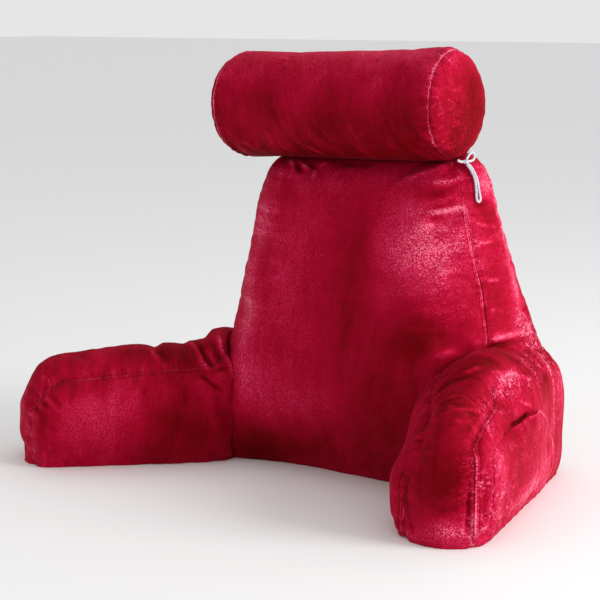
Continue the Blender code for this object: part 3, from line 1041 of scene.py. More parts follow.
@dataclass
class NeckRoll(Cushion):
    """The round roll that lies on the backrest's top."""

    node: str = "neck_roll"
    voxel: float = 0.0048
    looseness: float = 0.012
    cap: float = 0.005
    lump: float = 0.0014
    pucker: float = 0.0016
    # a painted highlight along the roll's top
    painted_top_shade: float = -0.05
    middle: Row = (-0.048, -0.07, 0.5565)
    half_length: float = 0.1885
    tilt: float = 1.6
    seam_radius: float = 0.0812
    seam_depth: float = 0.001
    corded: float = 1.0
    crown: float = 0.007
    drawn_up: float = 0.005
    # each fold's last number paints a highlight along it, or shade when below zero
    folds: tuple[Fold, ...] = folds_of(
        (((-0.129, -0.127, 0.498), (-0.115, -0.113, 0.486)), 0.0012, 0.004, 0.24),
        (((-0.082, -0.125, 0.497), (-0.058, -0.108, 0.485)), 0.0014, 0.004, 0.3),
        (((-0.196, -0.135, 0.502), (-0.177, -0.115, 0.485)), 0.0012, 0.004, 0.24),
        (((-0.212, -0.124, 0.49), (-0.199, -0.106, 0.479)), 0.0012, 0.004, 0.24),
        (((0.152, -0.128, 0.59), (0.158, -0.1, 0.584), (0.158, -0.084, 0.592)), 0.001, 0.0036, 0.22),
        (((0.15, -0.13, 0.548), (0.157, -0.102, 0.54), (0.157, -0.088, 0.545)), 0.0012, 0.0036, 0.3),
        (((0.151, -0.128, 0.525), (0.156, -0.112, 0.528)), 0.001, 0.0036, 0.24),
    )
    # painted shade under the roll and painted highlights along its top, with some of the pile's own tone
    patches: tuple[NapAndLightPatch, ...] = patches_of(
        ((-0.033, -0.145, 0.528), (0.03, 0.05, 0.02), -0.1),
        ((-0.12, -0.149, 0.538), (0.024, 0.05, 0.024), -0.08),
        ((-0.163, -0.15, 0.565), (0.03, 0.05, 0.018), -0.06),
        ((-0.01, -0.146, 0.584), (0.02, 0.05, 0.024), -0.06),
        ((0.1, -0.151, 0.545), (0.034, 0.06, 0.06), -0.05),
        ((-0.05, -0.08, 0.476), (0.4, 0.08, 0.026), -0.3),
        ((-0.05, -0.14, 0.525), (0.4, 0.06, 0.06), -0.16),
        ((-0.08, -0.146, 0.56), (0.03, 0.05, 0.04), 0.05),
        ((0.04, -0.146, 0.565), (0.02, 0.05, 0.05), 0.05),
        ((0.163, -0.05, 0.56), (0.014, 0.08, 0.08), -0.26),
        ((0.158, -0.128, 0.56), (0.016, 0.02, 0.06), 0.12),
        ((-0.06, -0.08, 0.64), (0.3, 0.05, 0.016), 0.1),
    )

    def form(self) -> bpy.types.Object:
        """The roll's form, with fuller discs and the right end drawn up a little underneath."""
        thing = super().form()
        places = coordinates(thing)
        away = places - np.array(self.middle)
        along = away @ self.axis()
        reach = np.linalg.norm(away - np.outer(along, self.axis()), axis=1) / self.seam_radius
        past = ease(np.abs(along), self.half_length - 0.014, self.half_length - 0.002)
        places += np.outer(self.crown * np.sign(along) * past * (1.0 - np.clip(reach, 0.0, 1.0) ** 4), self.axis())
        places[:, 2] += self.drawn_up * ease(along, 0.12, 0.19) * ease(-away[:, 2], 0.03, 0.085)
        move_to(thing, places)
        return thing

    def axis(self) -> np.ndarray:
        """The direction along the roll."""
        tilt = math.radians(self.tilt)
        return np.array((math.cos(tilt), 0.0, math.sin(tilt)))

    def seams(self) -> list[Line]:
        """The round seam of each end disc."""
        tilt = math.radians(self.tilt)
        above = np.array((-math.sin(tilt), 0.0, math.cos(tilt)))
        behind = np.array((0.0, 1.0, 0.0))
        turns = np.linspace(0.0, 2.0 * math.pi, 96, endpoint=False)[:, None]
        ring = self.seam_radius * (behind * np.cos(turns) + above * np.sin(turns))
        ends = (-self.half_length, self.half_length)
        return [Line(np.array(self.middle) + self.axis() * end + ring, closed=True) for end in ends]

    def seam_side(self, number: int, places: np.ndarray) -> np.ndarray:
        """For each place, 1 on an end disc and -1 on the tube."""
        reach = np.abs((places - np.array(self.middle)) @ self.axis())
        return np.where(reach > self.half_length, 1.0, -1.0)

    def crush(self, places: np.ndarray, normals: np.ndarray) -> np.ndarray:
        """The end discs are crushed, most towards the front, and the tube a little."""
        disc = ease(np.abs(normals @ self.axis()), 0.6, 0.9)
        return 0.08 + disc * (0.1 + 0.42 * ease(-places[:, 1], 0.08, 0.13))

    def wrinkle(self, places: np.ndarray, normals: np.ndarray) -> np.ndarray:
        """The tube's underside is the most wrinkled."""
        return 0.2 + 0.3 * ease(-normals[:, 2], 0.1, 0.7)

    def cloth_map(self, places: np.ndarray) -> np.ndarray:
        """Distances along the roll, slanted a little, and round it."""
        away = places - np.array(self.middle)
        turn = np.arctan2(-away[:, 1], away[:, 2]) * 0.08
        return np.stack([away @ self.axis() - 0.35 * turn, turn], axis=1)


@dataclass(frozen=True)
class BackLevel:
    """Where the wedge's two seams stand at a height."""

    up: float
    front_seam: float
    back_seam: float


@dataclass
class Backrest(Cushion):
    """The wedge: a front and a back panel joined by a strip."""

    node: str = "backrest"
    shoulder: float = 0.009
    tie_spot: Row = (-0.198, -0.016, 0.442)
    tie_reach: Row = (0.035, 0.03, 0.05)
    voxel: float = 0.0054
    firmer: tuple[str, ...] = ("neck_roll",)
    corners: tuple[Corner, ...] = (
        Corner(0.232, -SINK, 0.03),
        Corner(0.242, 0.11, 0.25),
        Corner(0.187, 0.35, 0.5),
        Corner(0.156, 0.486, 0.05),
        Corner(-0.176, 0.484, 0.06),
        Corner(-0.214, 0.33, 0.5),
        Corner(-0.246, 0.11, 0.25),
        Corner(-0.236, -SINK, 0.03),
    )
    levels: tuple[BackLevel, ...] = (
        BackLevel(0.0, -0.092, 0.104),
        BackLevel(0.1, -0.1, 0.096),
        BackLevel(0.2, -0.098, 0.068),
        BackLevel(0.24, -0.091, 0.054),
        BackLevel(0.3, -0.085, 0.032),
        BackLevel(0.36, -0.086, 0.018),
        BackLevel(0.41, -0.083, 0.009),
        BackLevel(0.44, -0.076, 0.005),
        BackLevel(0.48, -0.061, 0.0),
    )
    corner_pull: float = 0.052
    corner_pull_top: float = 0.24
    # each fold's last number paints a highlight along it, or shade when below zero
    folds: tuple[Fold, ...] = folds_of(
        # the fan of pleats under the roll
        (((-0.143, -0.077, 0.47), (-0.126, -0.089, 0.458), (-0.124, -0.102, 0.438)), 0.0034, 0.0036, 0.44),
        (((-0.133, -0.08, 0.469), (-0.118, -0.09, 0.459), (-0.104, -0.098, 0.448)), -0.004, 0.0042, -0.3),
        (((-0.128, -0.078, 0.472), (-0.111, -0.086, 0.463), (-0.096, -0.093, 0.456)), 0.0034, 0.0036, 0.36),
        (((-0.108, -0.079, 0.472), (-0.098, -0.084, 0.467), (-0.086, -0.09, 0.459)), -0.004, 0.0044, -0.3),
        (((-0.09, -0.088, 0.464), (-0.084, -0.096, 0.452), (-0.08, -0.104, 0.438)), 0.0028, 0.0038, 0.3),
        (((-0.08, -0.079, 0.474), (-0.076, -0.088, 0.462)), 0.004, 0.009, 0.12),
        (((-0.06, -0.076, 0.475), (-0.017, -0.08, 0.471), (0.022, -0.079, 0.473)), -0.003, 0.009, -0.12),
        (((-0.173, -0.06, 0.468), (-0.172, -0.078, 0.452)), -0.003, 0.007, -0.28),
        (((-0.154, -0.08, 0.462), (-0.146, -0.092, 0.448), (-0.138, -0.104, 0.43)), 0.0024, 0.0038, 0.28),
        # pulled from the right shoulder
        (((0.132, -0.07, 0.478), (0.111, -0.083, 0.467), (0.088, -0.092, 0.458), (0.068, -0.097, 0.451)),
         0.0022, 0.005, 0.16),
        (((0.155, -0.065, 0.465), (0.145, -0.083, 0.455), (0.125, -0.092, 0.451), (0.115, -0.097, 0.445)),
         0.0024, 0.0048, 0.28),
        (((0.099, -0.11, 0.427), (0.121, -0.101, 0.433), (0.147, -0.086, 0.44)), -0.002, 0.008, -0.12),
        (((0.119, -0.111, 0.417), (0.14, -0.103, 0.42), (0.16, -0.087, 0.427)), -0.002, 0.005, -0.22),
        (((0.119, -0.114, 0.408), (0.139, -0.106, 0.412), (0.153, -0.097, 0.416), (0.166, -0.086, 0.418),
          (0.177, -0.082, 0.4)), 0.003, 0.004, 0.38),
        (((0.12, -0.116, 0.403), (0.145, -0.107, 0.403), (0.166, -0.09, 0.408)), -0.0024, 0.0045, -0.24),
        (((0.104, -0.126, 0.383), (0.125, -0.12, 0.39), (0.138, -0.114, 0.392)), 0.002, 0.0048, 0.18),
        (((0.131, -0.122, 0.376), (0.156, -0.108, 0.383), (0.17, -0.096, 0.389)), -0.0016, 0.0048, -0.16),
        (((0.158, -0.128, 0.329), (0.18, -0.111, 0.333), (0.189, -0.098, 0.334)), 0.0016, 0.0044, 0.2),
        (((0.155, -0.128, 0.322), (0.185, -0.108, 0.325)), -0.0014, 0.0044, -0.12),
        (((0.19, -0.108, 0.302), (0.203, -0.089, 0.303)), 0.0014, 0.0044, 0.22),
        (((0.18, -0.128, 0.286), (0.197, -0.111, 0.287)), 0.0012, 0.0044, 0.16),
        # pulled towards the right arm
        (((0.213, -0.105, 0.233), (0.203, -0.126, 0.228), (0.191, -0.137, 0.226), (0.171, -0.15, 0.215),
          (0.153, -0.159, 0.209)), 0.003, 0.005, 0.26),
        (((0.21, -0.118, 0.226), (0.191, -0.145, 0.206), (0.175, -0.155, 0.184)), -0.003, 0.0075, -0.2),
        (((0.218, -0.123, 0.197), (0.205, -0.138, 0.193), (0.193, -0.147, 0.188), (0.175, -0.155, 0.181),
          (0.15, -0.162, 0.168)), 0.0034, 0.0046, 0.38),
        (((0.218, -0.127, 0.187), (0.196, -0.145, 0.181), (0.179, -0.154, 0.172), (0.15, -0.163, 0.152)),
         -0.0036, 0.007, -0.24),
        # across the strip, above the right arm
        (((0.216, -0.096, 0.232), (0.224, -0.055, 0.232), (0.225, -0.014, 0.23), (0.224, 0.026, 0.224)),
         0.0036, 0.005, 0.4),
        (((0.216, -0.108, 0.221), (0.221, -0.086, 0.222), (0.225, -0.05, 0.221), (0.226, -0.006, 0.219)),
         -0.006, 0.0055, -0.42),
        (((0.18, -0.075, 0.395), (0.185, -0.054, 0.39), (0.189, -0.032, 0.386)), 0.0014, 0.0026, 0.36),
        (((0.185, -0.082, 0.367), (0.188, -0.07, 0.367), (0.193, -0.045, 0.367)), 0.0014, 0.0026, 0.36),
        (((0.201, -0.078, 0.313), (0.203, -0.062, 0.313), (0.205, -0.046, 0.312)), 0.0014, 0.0026, 0.34),
        (((0.209, -0.084, 0.272), (0.212, -0.067, 0.272)), 0.0012, 0.0026, 0.3),
        (((0.172, -0.075, 0.419), (0.179, -0.053, 0.421), (0.18, -0.03, 0.426)), -0.0022, 0.005, -0.26),
        # along the left edge
        (((-0.186, -0.092, 0.386), (-0.176, -0.112, 0.37)), 0.002, 0.0048, 0.2),
        (((-0.196, -0.1, 0.34), (-0.184, -0.125, 0.318)), 0.002, 0.0048, 0.2),
    )
    # painted light and shade over the wedge, such as the lighter upper right and the darker foot, with some of the
    # pile's own tone
    patches: tuple[NapAndLightPatch, ...] = patches_of(
        ((0.11, -0.12, 0.38), (0.08, 0.09, 0.07), 0.22),
        ((0.15, -0.11, 0.35), (0.05, 0.08, 0.04), 0.14),
        ((0.125, -0.095, 0.438), (0.036, 0.05, 0.013), -0.14),
        ((0.03, -0.15, 0.3), (0.032, 0.08, 0.13), -0.2),
        ((0.129, -0.157, 0.235), (0.045, 0.08, 0.045), -0.26),
        ((0.09, -0.165, 0.1), (0.09, 0.08, 0.085), -0.24),
        ((-0.16, -0.15, 0.02), (0.06, 0.08, 0.045), -0.3),
        ((-0.06, -0.16, 0.04), (0.12, 0.08, 0.04), -0.16),
        ((-0.127, -0.167, 0.12), (0.06, 0.08, 0.05), 0.13),
        ((-0.02, -0.168, 0.12), (0.05, 0.08, 0.04), 0.12),
        ((-0.172, -0.15, 0.2), (0.035, 0.08, 0.08), 0.15),
        ((-0.181, -0.13, 0.29), (0.03, 0.08, 0.09), 0.2),
        ((-0.165, -0.11, 0.39), (0.03, 0.08, 0.06), 0.18),
        ((-0.08, -0.16, 0.29), (0.05, 0.08, 0.07), 0.08),
        ((-0.04, -0.1, 0.44), (0.06, 0.08, 0.02), 0.08),
        ((0.172, -0.04, 0.445), (0.02, 0.05, 0.03), 0.1),
        ((0.19, -0.056, 0.4), (0.014, 0.016, 0.024), -0.12),
        ((0.205, -0.004, 0.3), (0.03, 0.014, 0.06), 0.32),
        ((0.192, 0.0, 0.37), (0.024, 0.014, 0.04), 0.26),
        ((0.175, -0.004, 0.425), (0.024, 0.014, 0.05), 0.24),
        ((0.174, -0.038, 0.446), (0.02, 0.018, 0.026), 0.2),
        ((0.18, -0.035, 0.405), (0.016, 0.024, 0.014), -0.14),
        ((0.206, -0.062, 0.345), (0.016, 0.018, 0.02), -0.1),
        ((0.215, -0.062, 0.285), (0.016, 0.018, 0.018), -0.08),
    )

    def form(self) -> bpy.types.Object:
        """The wedge's form, a little fuller at its left shoulder."""
        thing = super().form()
        places = coordinates(thing)
        up = places[:, 2]
        full = ease(-places[:, 0], 0.04, 0.16) * ease(-places[:, 1], 0.02, 0.055)
        places[:, 0] -= self.shoulder * full * ease(up, 0.33, 0.42) * (1.0 - ease(up, 0.462, 0.486))
        move_to(thing, places)
        return thing

    def freedom(self, places: np.ndarray) -> np.ndarray:
        """The strip is held flat where the left tie hangs on it."""
        away = (places - np.array(self.tie_spot)) / np.array(self.tie_reach)
        return 1.0 - np.exp(-np.sum(away**2, axis=1))

    def depth(self, across: np.ndarray, up: np.ndarray, front: bool) -> np.ndarray:
        """Where a seam stands from front to back.

        Args:
            across: Places across the back.
            up: Their heights.
            front: Whether it is the front seam.

        Returns:
            Their Y.
        """
        heights = [level.up for level in self.levels]
        if not front:
            return np.interp(up, heights, [level.back_seam for level in self.levels])
        seam = np.interp(up, heights, [level.front_seam for level in self.levels])
        pull = np.clip(1.0 - up / self.corner_pull_top, 0.0, 1.0) * np.abs(across / self.corners[1].across) ** 3
        return seam - self.corner_pull * pull

    def seams(self) -> list[Line]:
        """The front and the back seam."""
        outline = rounded_outline(self.corners, OUTLINE_POINTS)
        across, up = outline[:, 0], np.maximum(outline[:, 1], 0.0)
        lines = [np.column_stack([across, self.depth(across, up, front), up]) for front in (True, False)]
        return [Line(line, closed=True) for line in lines]

    def seam_side(self, number: int, places: np.ndarray) -> np.ndarray:
        """For each place, -1 on a seam's panel and 1 on the strip."""
        seam = self.depth(places[:, 0], places[:, 2], number == 0)
        on_panel = places[:, 1] < seam if number == 0 else places[:, 1] > seam
        return np.where(on_panel, -1.0, 1.0)

    def on_strip(self, places: np.ndarray, normals: np.ndarray) -> np.ndarray:
        """How far each place is on the side strips, from 0 to 1."""
        return ease(np.abs(normals[:, 0]), 0.55, 0.85)

    def crush(self, places: np.ndarray, normals: np.ndarray) -> np.ndarray:
        """The strip down each side is crushed, more towards the back; the crushed flecks are stronger on the right, a
        painted highlight for the light falling from that side.
        """
        right = 0.3 + 0.7 * ease(places[:, 0], -0.02, 0.02)
        return self.on_strip(places, normals) * right * (0.1 + 0.9 * ease(places[:, 1], -0.045, 0.0))

    def wrinkle(self, places: np.ndarray, normals: np.ndarray) -> np.ndarray:
        """Fine wrinkles run in from the side seams at shoulder height."""
        shoulder = ease(np.abs(places[:, 0]), 0.07, 0.17) * ease(places[:, 2], 0.18, 0.3)
        return 0.08 + 0.42 * shoulder * (1.0 - 0.5 * self.on_strip(places, normals))


@dataclass(frozen=True)
class PocketEdge:
    """The pocket's lower and upper edge at a distance along the arm."""

    along: float
    low: float
    high: float


POCKET_EDGES = (
    PocketEdge(0.385, 0.024, 0.122),
    PocketEdge(0.372, 0.018, 0.128),
    PocketEdge(0.307, 0.018, 0.138),
    PocketEdge(0.204, 0.018, 0.143),
    PocketEdge(0.167, 0.018, 0.123),
    PocketEdge(0.135, 0.018, 0.099),
    PocketEdge(0.108, 0.018, 0.063),
    PocketEdge(0.1, 0.022, 0.04),
)


def pocket_rows() -> np.ndarray:
    """The pocket's edges from back to front: along the arm, low and high."""
    return np.array([(edge.along, edge.low, edge.high) for edge in POCKET_EDGES])[::-1]


def pocket_inside(along: np.ndarray, up: np.ndarray) -> np.ndarray:
    """How far places lie inside the pocket's edge, or, below zero, outside it.

    Args:
        along: Their distances along the arm.
        up: Their heights.

    Returns:
        The distances.
    """
    rows = pocket_rows()
    rim = np.vstack([rows[:, [0, 1]], rows[::-1][:, [0, 2]]])
    flat = np.column_stack([along, up, np.zeros(len(along))])
    off, _ = Line(np.column_stack([rim, np.zeros(len(rim))]), closed=True).measure(flat)
    within = (along > rows[0, 0]) & (along < rows[-1, 0])
    within &= (up > np.interp(along, rows[:, 0], rows[:, 1])) & (up < np.interp(along, rows[:, 0], rows[:, 2]))
    return np.where(within, off, -off)


@dataclass(frozen=True)
class ArmStation:
    """How far an arm's two seams stand from its middle line, at a distance along it."""

    along: float
    inner: float
    outer: float


@dataclass
class Arm(Cushion):
    """A bent arm: an inner and an outer panel joined by a strip over its top and down its end."""

    firmer: tuple[str, ...] = ("backrest",)
    guard: float = 0.0016
    side: Side = Side.RIGHT
    start: Row = (0.0, 0.0)
    heading_in: float = 0.0
    heading_out: float = 0.0
    bend_from: float = 0.08
    bend_to: float = 0.2
    corners: tuple[Corner, ...] = ()
    stations: tuple[ArmStation, ...] = ()

    def __post_init__(self) -> None:
        """Lay out the line along the floor that the arm follows."""
        self.length = max(corner.across for corner in self.corners)
        self.along = np.linspace(-0.05, self.length + 0.05, 200)
        turned = ease(self.along, self.bend_from, self.bend_to)
        heading = np.radians(self.heading_in + (self.heading_out - self.heading_in) * turned)
        ahead = np.stack([self.side.value * np.sin(heading), -np.cos(heading)], axis=1)
        self.outer = np.stack([self.side.value * np.cos(heading), np.sin(heading)], axis=1)
        walked = np.cumsum(ahead * (self.along[1] - self.along[0]), axis=0)
        origin = np.array([np.interp(0.0, self.along, walked[:, axis]) for axis in (0, 1)])
        self.place = walked - origin + np.array(self.start)

    def at(self, along: np.ndarray, outwards: np.ndarray) -> np.ndarray:
        """Floor places at distances along the arm, and outwards from its middle line.

        Args:
            along: How far along the arm each is.
            outwards: How far outwards each is.

        Returns:
            The places' X and Y, one a row.
        """
        middle = np.stack([np.interp(along, self.along, self.place[:, axis]) for axis in (0, 1)], axis=1)
        return middle + self.way_out(along) * outwards[:, None]

    def way_out(self, along: np.ndarray) -> np.ndarray:
        """The direction outwards at distances along the arm, as X and Y, one a row."""
        return np.stack([np.interp(along, self.along, self.outer[:, axis]) for axis in (0, 1)], axis=1)

    def on_arm(self, places: np.ndarray) -> tuple[np.ndarray, np.ndarray]:
        """Read places by the arm's own line.

        Args:
            places: The places, one a row.

        Returns:
            How far along the arm each is, and how far outwards from its middle line.
        """
        line = Line(np.column_stack([self.place, np.zeros(len(self.place))]))
        _, passed = line.measure(places * np.array((1.0, 1.0, 0.0)))
        along = passed + self.along[0]
        middle = self.at(along, np.zeros(len(along)))
        return along, np.sum((places[:, :2] - middle) * self.way_out(along), axis=1)

    def freedom(self, places: np.ndarray) -> np.ndarray:
        """The rear end, sewn to the backrest, hardly moves."""
        return 0.12 + 0.88 * ease(self.on_arm(places)[0], 0.1, 0.22)

    def half_widths(self, along: np.ndarray) -> tuple[np.ndarray, np.ndarray]:
        """How far the inner and the outer seam stand from the middle line."""
        stops = [station.along for station in self.stations]
        inner = np.interp(along, stops, [station.inner for station in self.stations])
        outer = np.interp(along, stops, [station.outer for station in self.stations])
        return inner, outer

    def seams(self) -> list[Line]:
        """The inner and the outer seam."""
        outline = rounded_outline(self.corners, OUTLINE_POINTS)
        inner, outer = self.half_widths(outline[:, 0])
        up = np.maximum(outline[:, 1], 0.0)
        lines = (self.at(outline[:, 0], -inner), self.at(outline[:, 0], outer))
        return [Line(np.column_stack([line, up]), closed=True) for line in lines]

    def seam_side(self, number: int, places: np.ndarray) -> np.ndarray:
        """For each place, -1 on a seam's panel and 1 on the strip."""
        along, outwards = self.on_arm(places)
        inner, outer = self.half_widths(along)
        on_panel = outwards < -inner if number == 0 else outwards > outer
        return np.where(on_panel, -1.0, 1.0)

    def cloth_map(self, places: np.ndarray) -> np.ndarray:
        """Distances along the arm and round it."""
        along, outwards = self.on_arm(places)
        return np.stack([along + 0.25 * places[:, 2], outwards + places[:, 2]], axis=1)


@dataclass
class RightArm(Arm):
    """The arm on the right, straight, with a rolled seam down its front corner."""

    node: str = "arm_right"
    # painted shade on the arm's upward faces
    painted_top_shade: float = 0.16
    trim: tuple[Row, Row] | None = ((0.0, 0.08, 0.16), (0.0, 1.0, 0.33))  # short of the backrest's back
    bed: float = 0.0008
    waist: float = 0.02
    seam_spots: tuple[Row, ...] = (
        (0.312, -0.306, 0.0),
        (0.312, -0.306, 0.05),
        (0.312, -0.306, 0.1),
        (0.3105, -0.304, 0.126),
        (0.305, -0.3, 0.138),
        (0.304, -0.291, 0.148),
        (0.299, -0.259, 0.162),
        (0.294, -0.231, 0.17),
        (0.291, -0.214, 0.176),
        (0.28, -0.201, 0.19),
    )
    side: Side = Side.RIGHT
    start: Row = (0.178, 0.086)
    heading_in: float = 12.0
    heading_out: float = 12.0
    corners: tuple[Corner, ...] = (
        Corner(0.0, -SINK, 0.04),
        Corner(0.412, -SINK, 0.03),
        Corner(0.412, 0.14, 0.05),
        Corner(0.23, 0.2, 0.12),
        Corner(0.0, 0.18, 0.06),
    )
    stations: tuple[ArmStation, ...] = (
        ArmStation(0.0, 0.04, 0.058),
        ArmStation(0.15, 0.048, 0.058),
        ArmStation(0.25, 0.052, 0.054),
        ArmStation(0.41, 0.048, 0.048),
    )
    # each fold's last number paints a highlight along it, or shade when below zero
    folds: tuple[Fold, ...] = folds_of(
        # the rolled edge down the front corner
        (((0.307, -0.301, 0.132), (0.312, -0.304, 0.115), (0.312, -0.306, 0.089), (0.312, -0.306, 0.045),
          (0.312, -0.306, 0.012)), 0.0042, 0.0044, 0.2),
        (((0.301, -0.303, 0.128), (0.305, -0.308, 0.089), (0.305, -0.31, 0.045), (0.305, -0.31, 0.015)),
         -0.003, 0.0034, -0.3),
        (((0.318, -0.29, 0.112), (0.32, -0.291, 0.07), (0.32, -0.291, 0.03)), -0.002, 0.004, -0.12),
        (((0.267, -0.333, 0.048), (0.279, -0.329, 0.053), (0.297, -0.319, 0.058), (0.307, -0.31, 0.066)),
         -0.0024, 0.0042, -0.12),
        (((0.227, -0.327, 0.131), (0.221, -0.329, 0.089), (0.222, -0.33, 0.05), (0.237, -0.334, 0.011)),
         -0.0018, 0.004, -0.2),
        # drawn round the front of the top
        (((0.245, -0.323, 0.153), (0.261, -0.315, 0.164), (0.278, -0.301, 0.168), (0.292, -0.284, 0.165)),
         0.0008, 0.003, 0.12),
        (((0.24, -0.309, 0.165), (0.26, -0.299, 0.176), (0.277, -0.274, 0.178), (0.287, -0.253, 0.175)),
         0.0008, 0.003, 0.12),
        (((0.24, -0.266, 0.186), (0.257, -0.255, 0.19), (0.272, -0.249, 0.187)), 0.0008, 0.003, 0.14),
        (((0.231, -0.279, 0.178), (0.253, -0.276, 0.185), (0.276, -0.256, 0.182), (0.289, -0.235, 0.177)),
         0.0008, 0.003, 0.12),
        # beside the backrest
        (((0.251, -0.175, 0.214), (0.243, -0.197, 0.21), (0.231, -0.21, 0.206)), 0.003, 0.005, 0.26),
        (((0.255, -0.195, 0.207), (0.24, -0.214, 0.203), (0.222, -0.226, 0.196), (0.205, -0.24, 0.18)),
         -0.002, 0.0055, -0.16),
        # the shadow over the pocket's mouth
        (((0.307, -0.196, 0.1415), (0.303, -0.163, 0.1425), (0.297, -0.125, 0.1435), (0.293, -0.1, 0.1455)),
         -0.004, 0.003, -0.6),
        # short folds above the pocket
        (((0.283, -0.198, 0.189), (0.288, -0.174, 0.184), (0.293, -0.15, 0.179)), 0.0012, 0.003, 0.3),
        (((0.298, -0.157, 0.168), (0.297, -0.13, 0.157), (0.294, -0.107, 0.145)), 0.0014, 0.0028, 0.34),
        (((0.3, -0.22, 0.166), (0.301, -0.19, 0.165), (0.301, -0.16, 0.153)), 0.0008, 0.003, 0.14),
        (((0.262, -0.18, 0.207), (0.272, -0.15, 0.203), (0.281, -0.12, 0.194), (0.285, -0.08, 0.182)),
         0.0014, 0.0036, 0.22),
        (((0.255, -0.06, 0.214), (0.275, -0.055, 0.19), (0.285, -0.04, 0.16)), 0.0014, 0.004, 0.16),
        (((0.234, -0.004, 0.208), (0.258, -0.014, 0.191), (0.274, -0.012, 0.158)), 0.0018, 0.0044, 0.2),
        (((0.243, -0.03, 0.212), (0.264, -0.038, 0.19), (0.28, -0.036, 0.16)), -0.0016, 0.0048, -0.16),
        # the fan that runs down and forward from the pocket's back edge
        (((0.289, -0.066, 0.108), (0.278, -0.008, 0.072), (0.274, 0.009, 0.048), (0.273, -0.003, 0.019),
          (0.283, -0.064, 0.009)), 0.0014, 0.0034, 0.26),
        (((0.293, -0.091, 0.108), (0.289, -0.064, 0.081), (0.287, -0.055, 0.06), (0.295, -0.107, 0.041),
          (0.309, -0.187, 0.037)), 0.0016, 0.0034, 0.28),
        (((0.282, -0.028, 0.062), (0.288, -0.059, 0.047), (0.3, -0.139, 0.032), (0.312, -0.212, 0.028)),
         0.0016, 0.0032, 0.3),
        (((0.287, -0.045, 0.085), (0.284, -0.035, 0.062), (0.29, -0.075, 0.047), (0.3, -0.139, 0.038)),
         -0.0014, 0.0034, -0.16),
        (((0.296, -0.107, 0.105), (0.294, -0.092, 0.077), (0.296, -0.11, 0.06)), 0.0012, 0.0028, 0.26),
        (((0.303, -0.155, 0.13), (0.301, -0.139, 0.113), (0.302, -0.15, 0.098)), 0.0012, 0.0024, 0.3),
        (((0.306, -0.167, 0.093), (0.304, -0.151, 0.069)), 0.001, 0.0026, 0.24),
        (((0.31, -0.189, 0.089), (0.312, -0.202, 0.052)), 0.001, 0.0028, 0.24),
    )
    # painted light and shade, such as the darker end cap, with some of the pile's own tone
    patches: tuple[NapAndLightPatch, ...] = patches_of(
        ((0.275, -0.331, 0.1), (0.05, 0.04, 0.05), -0.26),
        ((0.285, -0.326, 0.026), (0.03, 0.04, 0.016), 0.3),
        ((0.235, -0.332, 0.01), (0.025, 0.03, 0.012), 0.16),
        ((0.213, -0.324, 0.06), (0.008, 0.03, 0.08), -0.06),
        ((0.276, -0.159, 0.2), (0.014, 0.04, 0.016), 0.26),
        ((0.24, -0.175, 0.215), (0.025, 0.035, 0.012), -0.1),
        ((0.254, -0.271, 0.186), (0.04, 0.05, 0.02), -0.06),
        ((0.276, -0.04, 0.165), (0.03, 0.04, 0.018), -0.2),
        ((0.3, -0.125, 0.03), (0.04, 0.09, 0.024), 0.32),
        ((0.287, -0.05, 0.055), (0.03, 0.028, 0.03), 0.18),
        ((0.318, -0.258, 0.09), (0.03, 0.022, 0.055), 0.24),
        ((0.31, -0.19, 0.11), (0.03, 0.03, 0.05), -0.14),
        ((0.3, -0.13, 0.12), (0.03, 0.03, 0.024), -0.1),
    )

    def squeeze(self, places: np.ndarray) -> np.ndarray:
        """Draw the inner side of the arm's front end in below its top.

        Args:
            places: The places, one a row.

        Returns:
            Where they go.
        """
        along, outwards = self.on_arm(places)
        up = places[:, 2]
        push = self.waist * ease(-outwards, -0.02, 0.045) * ease(along, 0.27, 0.37)
        push *= ease(up, 0.07, 0.13) * (1.0 - ease(up, 0.15, 0.205))
        return places + np.column_stack([self.way_out(along) * push[:, None], np.zeros(len(places))])

    def form(self) -> bpy.types.Object:
        """The arm's form, drawn in at its inner shoulder."""
        thing = super().form()
        move_to(thing, self.squeeze(coordinates(thing)))
        return thing

    def outer_seam(self) -> np.ndarray:
        """The points of the outer panel's front seam, from the floor up the end and back over the top."""
        return smooth_line(self.seam_spots, 5)

    def seams(self) -> list[Line]:
        """The inner seam, and the outer one that wanders over the arm's top."""
        return [Line(self.squeeze(super().seams()[0].points)), Line(self.outer_seam())]

    def seam_side(self, number: int, places: np.ndarray) -> np.ndarray:
        """For each place, -1 on a seam's panel and 1 on the strip."""
        if number == 0:
            return super().seam_side(number, places)
        along, outwards = self.on_arm(places)
        seam_along, seam_out = self.on_arm(self.outer_seam()[::-1])
        return np.where(outwards > np.interp(along, seam_along, seam_out), -1.0, 1.0)

    def carve(self, thing: bpy.types.Object) -> np.ndarray:
        """Carve the arm, and then sink a shallow bed for the pocket.

        Args:
            thing: The stuffed arm.

        Returns:
            The painted light and shade at each vertex, lighter above zero.
        """
        shine = super().carve(thing)
        places = coordinates(thing)
        along, outwards = self.on_arm(places)
        inside = pocket_inside(along, places[:, 2])
        sunk = self.bed * ease(inside, -0.004, 0.001) * ease(outwards, 0.0, 0.02)
        places[:, :2] -= self.way_out(along) * sunk[:, None]
        move_to(thing, places)
        return shine

    def crush(self, places: np.ndarray, normals: np.ndarray) -> np.ndarray:
        """The outer panel is crushed, and the top strip beside it a little."""
        _, outwards = self.on_arm(places)
        high = ease(places[:, 2], 0.15, 0.19) + 0.5 * ease(-places[:, 1], 0.21, 0.26)
        return 0.1 + (0.3 + 0.4 * high) * ease(outwards, 0.02, 0.052)

    def wrinkle(self, places: np.ndarray, normals: np.ndarray) -> np.ndarray:
        """The top strip is the most wrinkled, and the end cap is smooth."""
        along, outwards = self.on_arm(places)
        top = ease(normals[:, 2], 0.1, 0.6)
        rear = ease(outwards, 0.02, 0.05) * (1.0 - ease(along, 0.16, 0.26))
        return (0.12 + 0.3 * top + 0.5 * rear) * (1.0 - ease(along, 0.395, 0.42))


